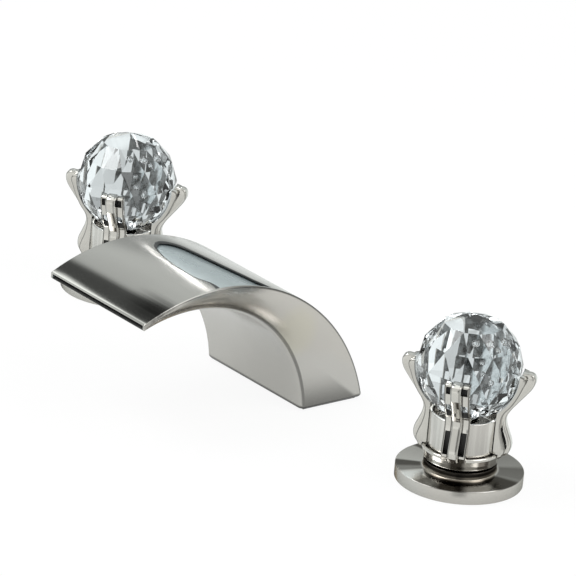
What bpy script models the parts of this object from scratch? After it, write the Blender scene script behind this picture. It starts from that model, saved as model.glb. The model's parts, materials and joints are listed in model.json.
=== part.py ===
"""Widespread bathroom faucet: an arched waterfall spout between two crystal handles.

Metres, +Z up. The origin lies on the deck, on the axis of the spout's shank. +X runs to the right
handle and -Y runs out over the basin. Each handle turns a quarter turn on a ceramic disc valve.
"""

import math

import bmesh
import bpy
from mathutils import Matrix, Vector

# Layout
HANDLE_SPACING = 0.254
DECK_THICKNESS = 0.020

# Clearances, how far a cut runs past the face that it opens, and how near two points are one
SEAT_GAP = 0.0003
RUN_GAP = 0.0004
OVERRUN = 0.003
MERGE_DISTANCE = 0.00001

# Arched spout
SPOUT_WIDTH = 0.0710
SPOUT_REACH = 0.1087
FOOT_FRONT = 0.0164
FOOT_BACK = 0.0188
CROWN_HEIGHT = 0.0685
CROWN_THICKNESS = 0.0078
LIP_FALL = 0.0099
LIP_THICKNESS = 0.0029
SHELL_WALL = 0.0022
LIP_WALL = 0.0008
SIDE_WALL = 0.0014
BASE_ROUND = 0.0024
EDGE_ROUND = 0.0006
ARC_STEPS = 26
# Leaf opening on top of the spout: its width round the arc, and how far back from the crown it sits
LEAF_WIDTH = 0.0288
LEAF_ANGLE = math.radians(8.2)
LEAF_CUT_DEPTH = 0.0046
# Across the spout in shares of the half width inside, round the arc in shares of the leaf's width
LEAF_SHARES = (
    (1.15, 0.53), (0.66, 0.475), (0.138, 0.358), (-0.40, 0.247), (-0.60, 0.165), (-0.71, -0.035),
    (-0.60, -0.23), (-0.40, -0.35), (-0.065, -0.451), (0.30, -0.495), (0.56, -0.485), (0.75, -0.40),
    (0.92, -0.39), (1.15, -0.45),
)

# Spout base, shank and tee
BASE_PLATE_THICKNESS = 0.0055
SPOUT_GASKET_THICKNESS = 0.0012
SHANK_RADIUS = 0.0103
SHANK_BORE_RADIUS = 0.0068
SHANK_DROP = 0.052
TEE_RADIUS = 0.0140
TEE_SOCKET_DEPTH = 0.0145
TEE_CHAMBER_HEIGHT = 0.0085
TEE_FLOOR = 0.0035
TEE_SPAN = 0.060
TEE_SEAL_THICKNESS = 0.0018

# Hose nipples, on the valves and on the tee
NIPPLE_RADIUS = 0.0090
NIPPLE_BORE_RADIUS = 0.0050

# What clamps a threaded tube to the deck from below
RUBBER_WASHER_THICKNESS = 0.0020
STEEL_WASHER_THICKNESS = 0.0016
WASHER_OVERLAP = 0.0080
NUT_HEIGHT = 0.0075
NUT_WALL = 0.0040

# Flange
FLANGE_RADIUS = 0.0284
FLANGE_THICKNESS = 0.0060
FLANGE_EDGE = 0.0005
FLANGE_RIM_WIDTH = 0.0026
FLANGE_RECESS = 0.0030
HUB_RADIUS = 0.0162
HUB_CLEARANCE = 0.0010
HUB_EDGE = 0.0004

# Valve body
VALVE_THREAD_RADIUS = 0.0130
VALVE_RISE = 0.0010
VALVE_THREAD_DROP = 0.036
VALVE_CHEST_RADIUS = 0.0155
VALVE_CHEST_DROP = 0.063
VALVE_CHAMFER = 0.0006
INLET_RADIUS = 0.0103
INLET_DROP = 0.078
INLET_BORE_RADIUS = 0.0060
INLET_NECK_RADIUS = 0.0045
INLET_NECK_DROP = 0.040
OUTLET_DROP = 0.050
OUTLET_REACH = 0.030
CHANNEL_RADIUS = 0.0020

# Ceramic disc cartridge
BARREL_RADIUS = 0.0089
BARREL_WALL = 0.0017
BARREL_LENGTH = 0.0310
HEX_RADIUS = 0.0098
HEX_HEIGHT = 0.0040
CHAMBER_HEIGHT = 0.0147
WINDOW_WIDTH = 0.0070
WINDOW_HEIGHT = 0.0040
DISC_THICKNESS = 0.0028
DISC_PORT_RADIUS = 0.0020
DISC_PORT_OFFSET = 0.0043
DISC_SLOT_LENGTH = 0.0098
SEAL_BORE_RADIUS = 0.0048

# Spindle
SPINDLE_RADIUS = 0.0038
SPINDLE_RISE = 0.0070
SPINDLE_HOLE_RADIUS = 0.0022
SPINDLE_HOLE_DEPTH = 0.0100
SPINDLE_FLANGE_HEIGHT = 0.0024
DOG_WIDTH = 0.0028
DOG_HEIGHT = 0.0016

# Handle cup
HANDLE_LIFT = 0.0044
CUP_RIM_RADIUS = 0.0177
CUP_FOOT_RADIUS = 0.0166
CUP_HEIGHT = 0.0060
CUP_RIM_DEPTH = 0.0012
CUP_RIM_WALL = 0.0014
CUP_FOOT_ROUND = 0.0012
CUP_FLARE_SHARE = 0.55
CUP_HOLLOW_RADIUS = 0.0138
CUP_HOLLOW_ROOM = 0.0012
PLUG_HEIGHT = 0.0064
SCREW_HEAD_RADIUS = 0.0037
SCREW_HEAD_HEIGHT = 0.0022
SCREW_RADIUS = 0.0019
SCREW_LENGTH = 0.0090
SCREW_SEAT = 0.0016

# Collar
COLLAR_RADIUS = 0.0156
COLLAR_WALL = 0.0014
COLLAR_HEIGHT = 0.0167
COLLAR_EDGE = 0.0004
COLLAR_FLOOR = 0.0020
COLLAR_BOSS_RADIUS = 0.0062

# Crystal ball
BALL_RADIUS = 0.0233
BALL_LIFT = 0.0216
BALL_CORNER_SHARE = 1.018
BALL_ROOM_SHARE = 1.027
BALL_SIDES = 12
# Polar angles of the rings of corners, from the crown of the ball down to the flat that it sits on
CORNER_ROWS = tuple(math.radians(row) for row in (34, 61, 88, 115, 140, 160))
STUD_RADIUS = 0.0030
STUD_LENGTH = 0.0170

# Claws
CLAW_COUNT = 4
CLAW_TURN = math.radians(-52)
CLAW_WIDTH = 0.0112
FIN_WIDTH = 0.0046
CLAW_WINDOW_WIDTH = 0.0025
FIN_PROUD = 0.0066
RIB_PROUD = 0.0043
CLAW_ROOT = 0.0030
# Outlines beside the collar: shares of the collar's height, and of how proud the claw stands
FIN_FOOT_SHARES = ((-0.03, 0.58), (0.05, 0.80), (0.22, 0.95), (0.39, 0.92), (0.63, 0.69), (0.86, 0.48), (1.03, 0.44))
RIB_FOOT_SHARES = ((-0.03, 0.58), (0.05, 0.80), (0.15, 1.0), (0.35, 0.88), (0.60, 0.54), (0.95, 0.32))
# Outlines beside the ball: shares of how proud the claw stands, and angles above the ball's middle
FIN_HEAD_SHARES = (0.52, 0.50, 0.71, 0.91, 0.99, 0.92, 0.67, 0.30)
FIN_HEAD_ANGLES = tuple(math.radians(angle) for angle in (-42.0, -31.0, -18.0, -10.6, -5.0, -0.4, 2.2, 2.4))
RIB_HEAD_SHARES = (0.54, 0.44, 0.44, 0.53, 0.67, 0.58, 0.28)
RIB_HEAD_ANGLES = tuple(math.radians(angle) for angle in (-46.0, -34.0, -22.0, -11.0, -4.6, -0.8, 0.8))
# Windows: the lowest in shares of the collar's height, the others in shares of the ball's radius
COLLAR_WINDOW_SHARES = (0.20, 0.80)
BALL_WINDOW_SHARES = ((-0.88, -0.44), (-0.20, -0.040))

# Roundness of turned pieces, in flats round the circle
FINE_STEPS = 32
ROUND_STEPS = 20
SMALL_STEPS = 14

# Heights that stack up from the deck
flange_top = FLANGE_THICKNESS
valve_top = flange_top + VALVE_RISE
hex_bottom = valve_top + SEAT_GAP
hex_top = hex_bottom + HEX_HEIGHT
cup_bottom = flange_top + HANDLE_LIFT
hub_top = cup_bottom - HUB_CLEARANCE
cup_rim = cup_bottom + CUP_HEIGHT
cup_floor = cup_rim - CUP_RIM_DEPTH
cup_ceiling = max(hex_top, cup_bottom) + CUP_HOLLOW_ROOM
spindle_top = hex_top + SPINDLE_RISE
socket_top = spindle_top + SEAT_GAP
screw_seat = socket_top + SCREW_SEAT
plug_top = max(cup_floor + PLUG_HEIGHT, screw_seat + SEAT_GAP + SCREW_HEAD_HEIGHT + SEAT_GAP)
collar_bottom = cup_floor + SEAT_GAP
collar_top = collar_bottom + COLLAR_HEIGHT
collar_floor = plug_top + SEAT_GAP
ball_middle = collar_top + BALL_LIFT
ball_corner_radius = BALL_RADIUS * BALL_CORNER_SHARE
ball_seat = ball_middle + ball_corner_radius * math.cos(CORNER_ROWS[-1])
boss_top = ball_seat - SEAT_GAP
stud_bottom = collar_floor + SEAT_GAP
stud_top = stud_bottom + STUD_LENGTH
barrel_bottom = valve_top - BARREL_LENGTH
valve_seat = barrel_bottom - SEAT_GAP
chamber_top = barrel_bottom + CHAMBER_HEIGHT
spindle_flange_top = chamber_top - RUN_GAP
spindle_flange_bottom = spindle_flange_top - SPINDLE_FLANGE_HEIGHT
moving_disc_top = spindle_flange_bottom - SEAT_GAP
fixed_disc_top = moving_disc_top - DISC_THICKNESS - SEAT_GAP
seal_top = fixed_disc_top - DISC_THICKNESS - SEAT_GAP

# Radii of pieces that fit in each other
flange_hole_radius = VALVE_THREAD_RADIUS + SEAT_GAP
barrel_bore_radius = BARREL_RADIUS + SEAT_GAP
chamber_radius = BARREL_RADIUS - BARREL_WALL
disc_radius = chamber_radius - RUN_GAP
stem_bore_radius = SPINDLE_RADIUS + RUN_GAP
socket_radius = SPINDLE_RADIUS + SEAT_GAP
screw_hole_radius = SCREW_RADIUS + SEAT_GAP
collar_inner_radius = COLLAR_RADIUS - COLLAR_WALL
plug_radius = collar_inner_radius - SEAT_GAP
stud_hole_radius = STUD_RADIUS + SEAT_GAP
shank_hole_radius = SHANK_RADIUS + SEAT_GAP
nut_drop = DECK_THICKNESS + RUBBER_WASHER_THICKNESS + STEEL_WASHER_THICKNESS + 2 * SEAT_GAP

# Colour, roughness and metallic value of each finish
FINISHES = {
    "brushed_nickel": ((0.56, 0.54, 0.51, 1.0), 0.32, 1.0),
    "polished_nickel": ((0.66, 0.64, 0.61, 1.0), 0.08, 1.0),
    "crystal": ((0.95, 0.97, 0.98, 1.0), 0.02, 0.0),
    "brass": ((0.62, 0.46, 0.22, 1.0), 0.30, 1.0),
    "steel": ((0.55, 0.55, 0.56, 1.0), 0.25, 1.0),
    "rubber": ((0.02, 0.02, 0.02, 1.0), 0.75, 0.0),
    "ceramic": ((0.80, 0.78, 0.74, 1.0), 0.25, 0.0),
}
CREASE_ANGLE = math.radians(32)
FLAT_ANGLE = math.radians(0.3)


def clear_scene():
    for old in list(bpy.data.objects):
        bpy.data.objects.remove(old, do_unlink=True)


def make_collection(name):
    collection = bpy.data.collections.new(name)
    bpy.context.scene.collection.children.link(collection)
    return collection


def make_finishes():
    finishes = {}
    for name, (colour, roughness, metallic) in FINISHES.items():
        finish = bpy.data.materials.new(name)
        finish.use_nodes = True
        shader = finish.node_tree.nodes["Principled BSDF"]
        shader.inputs["Base Color"].default_value = colour
        shader.inputs["Roughness"].default_value = roughness
        shader.inputs["Metallic"].default_value = metallic
        finishes[name] = finish
    return finishes


def add_object(name, mesh, collection):
    thing = bpy.data.objects.new(name, mesh)
    collection.objects.link(thing)
    return thing


def make_part(name, mesh, finish):
    part = add_object(name, mesh, parts)
    part.data.materials.clear()
    part.data.materials.append(finishes[finish])
    return part


def make_cutter(name, mesh):
    cutter = add_object(name, mesh, cutters)
    cutter.hide_render = True
    cutter.display_type = "WIRE"
    return cutter


def settled_mesh(thing):
    """The mesh of an object with its modifiers worked into it."""
    bpy.context.view_layer.update()
    depsgraph = bpy.context.evaluated_depsgraph_get()
    return bpy.data.meshes.new_from_object(thing.evaluated_get(depsgraph))


def outline_mesh(name, points, closed):
    """Edges through (radius, height) points, for a Screw modifier to turn."""
    outline = bpy.data.meshes.new(name)
    vertices = [(radius, 0.0, height) for radius, height in points]
    edges = [(i, i + 1) for i in range(len(points) - 1)]
    if closed:
        edges.append((len(points) - 1, 0))
    outline.from_pydata(vertices, edges, [])
    return outline


def turned_mesh(name, points, steps=ROUND_STEPS, closed=True):
    """A profile turned round Z. It runs down its outer side, and back up a bore if it is closed."""
    profile = add_object(name, outline_mesh(name, points, closed), cutters)
    screw = profile.modifiers.new("turn", "SCREW")
    screw.axis = "Z"
    screw.angle = math.tau
    screw.steps = steps
    screw.render_steps = steps
    screw.use_merge_vertices = True
    screw.merge_threshold = MERGE_DISTANCE
    mesh = settled_mesh(profile)
    bpy.data.objects.remove(profile, do_unlink=True)
    return mesh


def ring_mesh(name, outer, inner, top, bottom, steps=ROUND_STEPS):
    return turned_mesh(name, [(inner, top), (outer, top), (outer, bottom), (inner, bottom)], steps)


def rod_mesh(name, radius, top, bottom, steps=ROUND_STEPS, place=Matrix()):
    """A cylinder between two heights, with as many sides as steps."""
    rod = bpy.data.meshes.new(name)
    build = bmesh.new()
    bmesh.ops.create_cone(
        build, cap_ends=True, segments=steps, radius1=radius, radius2=radius, depth=top - bottom,
        matrix=place @ Matrix.Translation((0, 0, (top + bottom) / 2)),
    )
    build.to_mesh(rod)
    build.free()
    return rod


def box_mesh(name, low, high):
    box = bpy.data.meshes.new(name)
    build = bmesh.new()
    size = [b - a for a, b in zip(low, high)]
    middle = [(a + b) / 2 for a, b in zip(low, high)]
    bmesh.ops.create_cube(build, size=1, matrix=Matrix.Translation(middle) @ Matrix.Diagonal((*size, 1)))
    build.to_mesh(box)
    build.free()
    return box


def plate_mesh(name, splines, thickness):
    """A flat outline given thickness: outline X and Y stay, and the thickness is centred on Z.

    Each spline is (points, kind): POLY joins its points with straight lines, AUTO curves through them.
    """
    outline = bpy.data.curves.new(name, "CURVE")
    outline.dimensions = "2D"
    outline.fill_mode = "BOTH"
    outline.extrude = thickness / 2
    for points, kind in splines:
        if kind == "POLY":
            spline = outline.splines.new("POLY")
            spline.points.add(len(points) - 1)
            for spot, (x, y) in zip(spline.points, points):
                spot.co = (x, y, 0, 1)
        else:
            spline = outline.splines.new("BEZIER")
            spline.resolution_u = 2
            spline.bezier_points.add(len(points) - 1)
            for spot, (x, y) in zip(spline.bezier_points, points):
                spot.co = (x, y, 0)
                spot.handle_left_type = "AUTO"
                spot.handle_right_type = "AUTO"
        spline.use_cyclic_u = True
    plate = add_object(name, outline, cutters)
    mesh = settled_mesh(plate)
    bpy.data.objects.remove(plate, do_unlink=True)
    build = bmesh.new()
    build.from_mesh(mesh)
    bmesh.ops.remove_doubles(build, verts=build.verts[:], dist=MERGE_DISTANCE)
    bmesh.ops.recalc_face_normals(build, faces=build.faces[:])
    build.to_mesh(mesh)
    build.free()
    return mesh


def combine(part, operation, *others):
    """Leaves a Boolean on the part for each other object."""
    for other in others:
        boolean = part.modifiers.new(other.name, "BOOLEAN")
        boolean.operation = operation
        boolean.solver = "EXACT"
        boolean.object = other
    return part


def settle(part):
    """Works the modifiers into the mesh, then shades round faces smooth and keeps creases crisp."""
    mesh = settled_mesh(part)
    mesh.name = part.name
    part.modifiers.clear()
    part.data = mesh
    mesh.shade_smooth()
    mesh.set_sharp_from_angle(angle=CREASE_ANGLE)
    return part


def mesh_across(mesh):
    """Stands a plate up so that its outline lies in the YZ plane and its thickness along X."""
    mesh.transform(Matrix(((0, 0, 1, 0), (1, 0, 0, 0), (0, 1, 0, 0), (0, 0, 0, 1))))
    return mesh


def mesh_radial(mesh):
    """Stands a plate up so that its outline lies in the XZ plane and its thickness along Y."""
    mesh.transform(Matrix(((1, 0, 0, 0), (0, 0, -1, 0), (0, 1, 0, 0), (0, 0, 0, 1))))
    return mesh


class Arch:
    """The circle in the YZ plane through a lip and a foot on the deck that crests at a given height."""

    def __init__(self, lip_y, lip_z, foot_y, crest):
        lip_fall = crest - lip_z
        span = foot_y - lip_y
        ratio = crest / lip_fall
        rest = span ** 2 - crest * lip_fall + crest ** 2
        run = (math.sqrt(span ** 2 - (1 - ratio) * rest) - span) / (ratio - 1)
        self.radius = (run ** 2 + lip_fall ** 2) / (2 * lip_fall)
        self.y = lip_y + run
        self.z = crest - self.radius

    def angle_at_y(self, y, inset=0.0):
        return math.asin((y - self.y) / (self.radius + inset))

    def angle_at_deck(self, inset=0.0):
        return math.acos(-self.z / (self.radius + inset))

    def y_at_z(self, z, inset=0.0):
        return self.y + math.sqrt((self.radius + inset) ** 2 - (z - self.z) ** 2)

    def point(self, angle, inset=0.0):
        radius = self.radius + inset
        return self.y + radius * math.sin(angle), self.z + radius * math.cos(angle)

    def points(self, start, end, start_inset=0.0, end_inset=0.0):
        """Points from one angle to another, moved off the circle by insets that change steadily."""
        found = []
        for step in range(ARC_STEPS + 1):
            share = step / ARC_STEPS
            inset = start_inset + (end_inset - start_inset) * min(1.0, share * 2)
            found.append(self.point(start + (end - start) * share, inset))
        return found


def spout_body():
    """The hollow arch: a crescent from the deck to the lip, thin walled, slotted at the lip."""
    body = mesh_across(plate_mesh("spout_body", [(crescent_outline(), "POLY")], SPOUT_WIDTH))
    build = bmesh.new()
    build.from_mesh(body)
    bmesh.ops.dissolve_limit(build, angle_limit=FLAT_ANGLE, verts=build.verts[:], edges=build.edges[:])
    weight = build.edges.layers.float.new("bevel_weight_edge")
    for edge in build.edges:
        on_side = abs(edge.verts[0].co.x - edge.verts[1].co.x) < SEAT_GAP
        on_deck = max(vertex.co.z for vertex in edge.verts) < SEAT_GAP
        if on_deck:
            edge[weight] = 1.0
        elif on_side:
            edge[weight] = EDGE_ROUND / BASE_ROUND
    build.to_mesh(body)
    build.free()
    part = make_part("spout_body", body, "brushed_nickel")
    bevel = part.modifiers.new("rounded edges", "BEVEL")
    bevel.limit_method = "WEIGHT"
    bevel.width = BASE_ROUND
    bevel.segments = 2
    hollow = make_cutter("spout_hollow", mesh_across(plate_mesh(
        "spout_hollow", [(hollow_outline(), "POLY")], SPOUT_WIDTH - 2 * SIDE_WALL)))
    combine(part, "DIFFERENCE", hollow, leaf_cutter())
    settle(part)


def crescent_outline():
    front = outer_arch.points(outer_arch.angle_at_y(-SPOUT_REACH), outer_arch.angle_at_deck())
    back = inner_arch.points(inner_arch.angle_at_y(-SPOUT_REACH), inner_arch.angle_at_deck())
    return front + back[::-1]


def hollow_outline():
    """The water way inside the arch, from an open foot to the slot under the lip."""
    past_lip = -SPOUT_REACH - OVERRUN
    top = outer_arch.points(
        outer_arch.angle_at_y(past_lip, -LIP_WALL), outer_arch.angle_at_deck(-SHELL_WALL),
        -LIP_WALL, -SHELL_WALL)
    bottom = inner_arch.points(
        inner_arch.angle_at_y(past_lip, LIP_WALL), inner_arch.angle_at_deck(SHELL_WALL),
        LIP_WALL, SHELL_WALL)
    foot_back = (top[-1][0], -OVERRUN)
    foot_front = (bottom[-1][0], -OVERRUN)
    return top + [foot_back, foot_front] + bottom[::-1]


def leaf_cutter():
    """Cuts the leaf through the top wall only, square to the arc at the middle of the leaf."""
    half_width = SPOUT_WIDTH / 2 - SIDE_WALL + SEAT_GAP / 2
    outline = [(across * half_width, along * LEAF_WIDTH) for across, along in LEAF_SHARES]
    mesh = plate_mesh("leaf_cutter", [(outline, "AUTO")], LEAF_CUT_DEPTH + OVERRUN)
    trim = make_cutter("leaf_trim", box_mesh(
        "leaf_trim",
        (-SPOUT_WIDTH, -SPOUT_WIDTH, -SPOUT_WIDTH),
        (half_width, SPOUT_WIDTH, SPOUT_WIDTH)))
    leaf = make_cutter("leaf_cutter", mesh)
    combine(leaf, "INTERSECT", trim)
    settle(leaf)
    bpy.data.objects.remove(trim, do_unlink=True)
    middle = outer_arch.radius + (OVERRUN - LEAF_CUT_DEPTH) / 2
    leaf.data.transform(Matrix.Translation((0, 0, middle)))
    leaf.matrix_world = Matrix.Translation((0, outer_arch.y, outer_arch.z)) @ Matrix.Rotation(-LEAF_ANGLE, 4, "X")
    return leaf


def spout_base():
    """The plate that closes the foot, the gasket under it, and the shank screwed into it."""
    bottom = SPOUT_GASKET_THICKNESS + SEAT_GAP
    top = bottom + BASE_PLATE_THICKNESS
    inset = SHELL_WALL + SEAT_GAP
    half_width = SPOUT_WIDTH / 2 - SIDE_WALL - SEAT_GAP
    plate = plate_mesh("spout_base_plate", [([
        (outer_arch.y_at_z(bottom, -inset), bottom), (outer_arch.y_at_z(top, -inset), top),
        (inner_arch.y_at_z(top, inset), top), (inner_arch.y_at_z(bottom, inset), bottom),
    ], "POLY")], 2 * half_width)
    plate = make_part("spout_base_plate", mesh_across(plate), "brass")
    hole = make_cutter("shank_hole", rod_mesh("shank_hole", shank_hole_radius, top + OVERRUN, -OVERRUN))
    combine(plate, "DIFFERENCE", hole)
    settle(plate)
    gasket_back = outer_arch.y_at_z(SPOUT_GASKET_THICKNESS, -inset)
    gasket_front = inner_arch.y_at_z(0, inset)
    gasket = make_part("spout_gasket", box_mesh(
        "spout_gasket", (-half_width, gasket_front, 0),
        (half_width, gasket_back, SPOUT_GASKET_THICKNESS)), "rubber")
    combine(gasket, "DIFFERENCE", hole)
    settle(gasket)
    shank = ring_mesh("spout_shank", SHANK_RADIUS, SHANK_BORE_RADIUS, top, -SHANK_DROP)
    settle(make_part("spout_shank", shank, "brass"))
    clamp_set("spout", SHANK_RADIUS, Vector((0, 0, 0)))


def spout_tee():
    """The fitting on the shank's lower end where the hot and the cold hose meet."""
    socket_floor = -SHANK_DROP - TEE_SEAL_THICKNESS - 2 * SEAT_GAP
    top = socket_floor + TEE_SOCKET_DEPTH
    chamber = socket_floor - TEE_CHAMBER_HEIGHT
    bottom = chamber - TEE_FLOOR
    profile = [
        (shank_hole_radius, top), (TEE_RADIUS, top), (TEE_RADIUS, bottom), (0, bottom),
    ]
    cavity = [(SHANK_BORE_RADIUS, chamber), (SHANK_BORE_RADIUS, socket_floor), (shank_hole_radius, socket_floor)]
    tee = make_part("spout_tee", turned_mesh(
        "spout_tee", [(0, chamber)] + cavity + profile, closed=False), "brass")
    middle = socket_floor - TEE_CHAMBER_HEIGHT / 2
    sideways = Matrix.Translation((0, 0, middle)) @ Matrix.Rotation(math.pi / 2, 4, "Y")
    wall_middle = (TEE_RADIUS + SHANK_BORE_RADIUS) / 2
    for number, ends in enumerate(((TEE_SPAN / 2, wall_middle), (-wall_middle, -TEE_SPAN / 2))):
        nipple = make_cutter(f"tee_nipple_{number}", rod_mesh(
            "tee_nipple", NIPPLE_RADIUS, *ends, SMALL_STEPS, sideways))
        combine(tee, "UNION", nipple)
    bore = make_cutter("tee_bore", rod_mesh("tee_bore", NIPPLE_BORE_RADIUS, TEE_SPAN, -TEE_SPAN, SMALL_STEPS, sideways))
    combine(tee, "DIFFERENCE", bore)
    settle(tee)
    seal_bottom = socket_floor + SEAT_GAP
    settle(make_part("tee_seal", ring_mesh(
        "tee_seal", SHANK_RADIUS, SHANK_BORE_RADIUS, seal_bottom + TEE_SEAL_THICKNESS, seal_bottom), "rubber"))


def clamp_set(owner, thread_radius, place):
    """Rubber washer, steel washer and hexagon nut on a threaded tube, tight under the deck."""
    inner = thread_radius + SEAT_GAP
    outer = thread_radius + WASHER_OVERLAP
    top = -DECK_THICKNESS
    bottom = top - RUBBER_WASHER_THICKNESS
    pieces = [make_part(f"{owner}_rubber_washer", ring_mesh(
        f"{owner}_rubber_washer", outer, inner, top, bottom), "rubber")]
    top = bottom - SEAT_GAP
    bottom = top - STEEL_WASHER_THICKNESS
    pieces.append(make_part(f"{owner}_steel_washer", ring_mesh(
        f"{owner}_steel_washer", outer, inner, top, bottom), "steel"))
    top = bottom - SEAT_GAP
    corner_radius = (inner + NUT_WALL) / math.cos(math.pi / 6)
    nut = make_part(f"{owner}_nut", rod_mesh(f"{owner}_nut", corner_radius, top, top - NUT_HEIGHT, 6), "brass")
    bore = make_cutter(f"{owner}_nut_bore", rod_mesh(
        f"{owner}_nut_bore", inner, top + OVERRUN, top - NUT_HEIGHT - OVERRUN))
    combine(nut, "DIFFERENCE", bore)
    settle(nut)
    bpy.data.objects.remove(bore, do_unlink=True)
    pieces.append(nut)
    for piece in pieces:
        settle(piece)
        piece.location = place


def flange_set(side, place):
    """The round escutcheon with its hub, hollow underneath, and the soft gasket in that hollow."""
    inner_rim = FLANGE_RADIUS - FLANGE_RIM_WIDTH
    flange = make_part(f"{side}_flange", turned_mesh(f"{side}_flange", [
        (flange_hole_radius, hub_top), (HUB_RADIUS - HUB_EDGE, hub_top), (HUB_RADIUS, hub_top - HUB_EDGE),
        (HUB_RADIUS, flange_top), (FLANGE_RADIUS - FLANGE_EDGE, flange_top),
        (FLANGE_RADIUS, flange_top - FLANGE_EDGE), (FLANGE_RADIUS, 0), (inner_rim, 0),
        (inner_rim, FLANGE_RECESS), (flange_hole_radius, FLANGE_RECESS),
    ], FINE_STEPS), "polished_nickel")
    gasket = make_part(f"{side}_flange_gasket", ring_mesh(
        f"{side}_flange_gasket", inner_rim - SEAT_GAP, flange_hole_radius, FLANGE_RECESS - SEAT_GAP, 0), "rubber")
    for piece in (flange, gasket):
        settle(piece)
        piece.location = place


def valve_body(side, place, inward):
    """The brass valve: threaded neck, chest, inlet below and an outlet towards the spout."""
    body = make_part(f"{side}_valve_body", turned_mesh(f"{side}_valve_body", [
        (barrel_bore_radius, valve_top), (VALVE_THREAD_RADIUS - VALVE_CHAMFER, valve_top),
        (VALVE_THREAD_RADIUS, valve_top - VALVE_CHAMFER), (VALVE_THREAD_RADIUS, -VALVE_THREAD_DROP),
        (VALVE_CHEST_RADIUS, -VALVE_THREAD_DROP - VALVE_CHAMFER), (VALVE_CHEST_RADIUS, -VALVE_CHEST_DROP),
        (INLET_RADIUS, -VALVE_CHEST_DROP), (INLET_RADIUS, -INLET_DROP), (INLET_BORE_RADIUS, -INLET_DROP),
        (INLET_BORE_RADIUS, -INLET_NECK_DROP), (INLET_NECK_RADIUS, -INLET_NECK_DROP),
        (INLET_NECK_RADIUS, valve_seat), (barrel_bore_radius, valve_seat),
    ]), "brass")
    sideways = Matrix.Translation((0, 0, -OUTLET_DROP)) @ Matrix.Rotation(math.pi / 2, 4, "Y")
    wall_middle = (VALVE_CHEST_RADIUS + INLET_BORE_RADIUS) / 2
    nipple = make_cutter(f"{side}_outlet_nipple", rod_mesh(
        "outlet_nipple", NIPPLE_RADIUS, OUTLET_REACH, wall_middle, SMALL_STEPS, sideways))
    channel_offset = barrel_bore_radius + CHANNEL_RADIUS / 4
    channel = make_cutter(f"{side}_outlet_channel", rod_mesh(
        "outlet_channel", CHANNEL_RADIUS, chamber_top, -OUTLET_DROP, SMALL_STEPS // 2,
        Matrix.Translation((channel_offset, 0, 0))))
    bore = make_cutter(f"{side}_outlet_bore", rod_mesh(
        "outlet_bore", NIPPLE_BORE_RADIUS, OUTLET_REACH + OVERRUN, channel_offset - CHANNEL_RADIUS / 2,
        SMALL_STEPS, sideways))
    combine(body, "UNION", nipple)
    combine(body, "DIFFERENCE", bore, channel)
    settle(body)
    body.location = place
    body.rotation_euler.z = math.atan2(0, inward)


def cartridge(side, place, axis):
    """The quarter turn cartridge: what stays in the valve and what turns with the spindle."""
    hexagon = make_cutter(f"{side}_cartridge_hexagon", rod_mesh(
        "cartridge_hexagon", HEX_RADIUS, hex_top, hex_bottom, 6))
    neck_radius = HEX_RADIUS * math.cos(math.pi / 6) - SEAT_GAP
    neck_top = (hex_bottom + hex_top) / 2
    body = make_part(f"{side}_cartridge_body", turned_mesh(f"{side}_cartridge_body", [
        (0, neck_top), (neck_radius, neck_top), (neck_radius, valve_top - VALVE_CHAMFER),
        (BARREL_RADIUS, valve_top - 2 * VALVE_CHAMFER), (BARREL_RADIUS, barrel_bottom),
        (chamber_radius, barrel_bottom), (chamber_radius, chamber_top), (0, chamber_top),
    ], closed=False), "brass")
    stem_bore = make_cutter(f"{side}_stem_bore", rod_mesh(
        "stem_bore", stem_bore_radius, hex_top + OVERRUN, chamber_top - OVERRUN))
    window_top = moving_disc_top
    windows = make_cutter(f"{side}_cartridge_windows", box_mesh(
        "cartridge_windows", (-2 * BARREL_RADIUS, -WINDOW_WIDTH / 2, window_top - WINDOW_HEIGHT),
        (2 * BARREL_RADIUS, WINDOW_WIDTH / 2, window_top)))
    combine(body, "UNION", hexagon)
    combine(body, "DIFFERENCE", stem_bore, windows)
    fixed_disc = make_part(f"{side}_fixed_disc", rod_mesh(
        f"{side}_fixed_disc", disc_radius, fixed_disc_top, fixed_disc_top - DISC_THICKNESS), "ceramic")
    combine(fixed_disc, "DIFFERENCE", *disc_ports(f"{side}_fixed", 0, fixed_disc_top))
    seal = make_part(f"{side}_cartridge_seal", ring_mesh(
        f"{side}_cartridge_seal", disc_radius, SEAL_BORE_RADIUS, seal_top, barrel_bottom), "rubber")
    for piece in (body, fixed_disc, seal):
        settle(piece)
        piece.location = place
    moving_disc = make_part(f"{side}_moving_disc", rod_mesh(
        f"{side}_moving_disc", disc_radius, moving_disc_top, moving_disc_top - DISC_THICKNESS), "ceramic")
    slot_floor = moving_disc_top - DOG_HEIGHT
    slot_half = DOG_WIDTH / 2 + SEAT_GAP
    slot = make_cutter(f"{side}_disc_slot", box_mesh(
        "disc_slot", (-DISC_SLOT_LENGTH / 2, -slot_half, slot_floor),
        (DISC_SLOT_LENGTH / 2, slot_half, moving_disc_top + OVERRUN)))
    combine(moving_disc, "DIFFERENCE", slot, *disc_ports(f"{side}_moving", math.pi / 2, moving_disc_top))
    settle(moving_disc)
    moving_disc.parent = axis
    spindle(side, axis)


def disc_ports(owner, turn, top):
    """Two round ports across a ceramic disc. They line up with the other disc's a quarter turn on."""
    ports = []
    for number in (1, 2):
        offset = Matrix.Rotation(turn + number * math.pi, 4, "Z") @ Matrix.Translation((DISC_PORT_OFFSET, 0, 0))
        ports.append(make_cutter(f"{owner}_port_{number}", rod_mesh(
            "port", DISC_PORT_RADIUS, top + OVERRUN, top - DISC_THICKNESS - OVERRUN, SMALL_STEPS // 2, offset)))
    return ports


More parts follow.
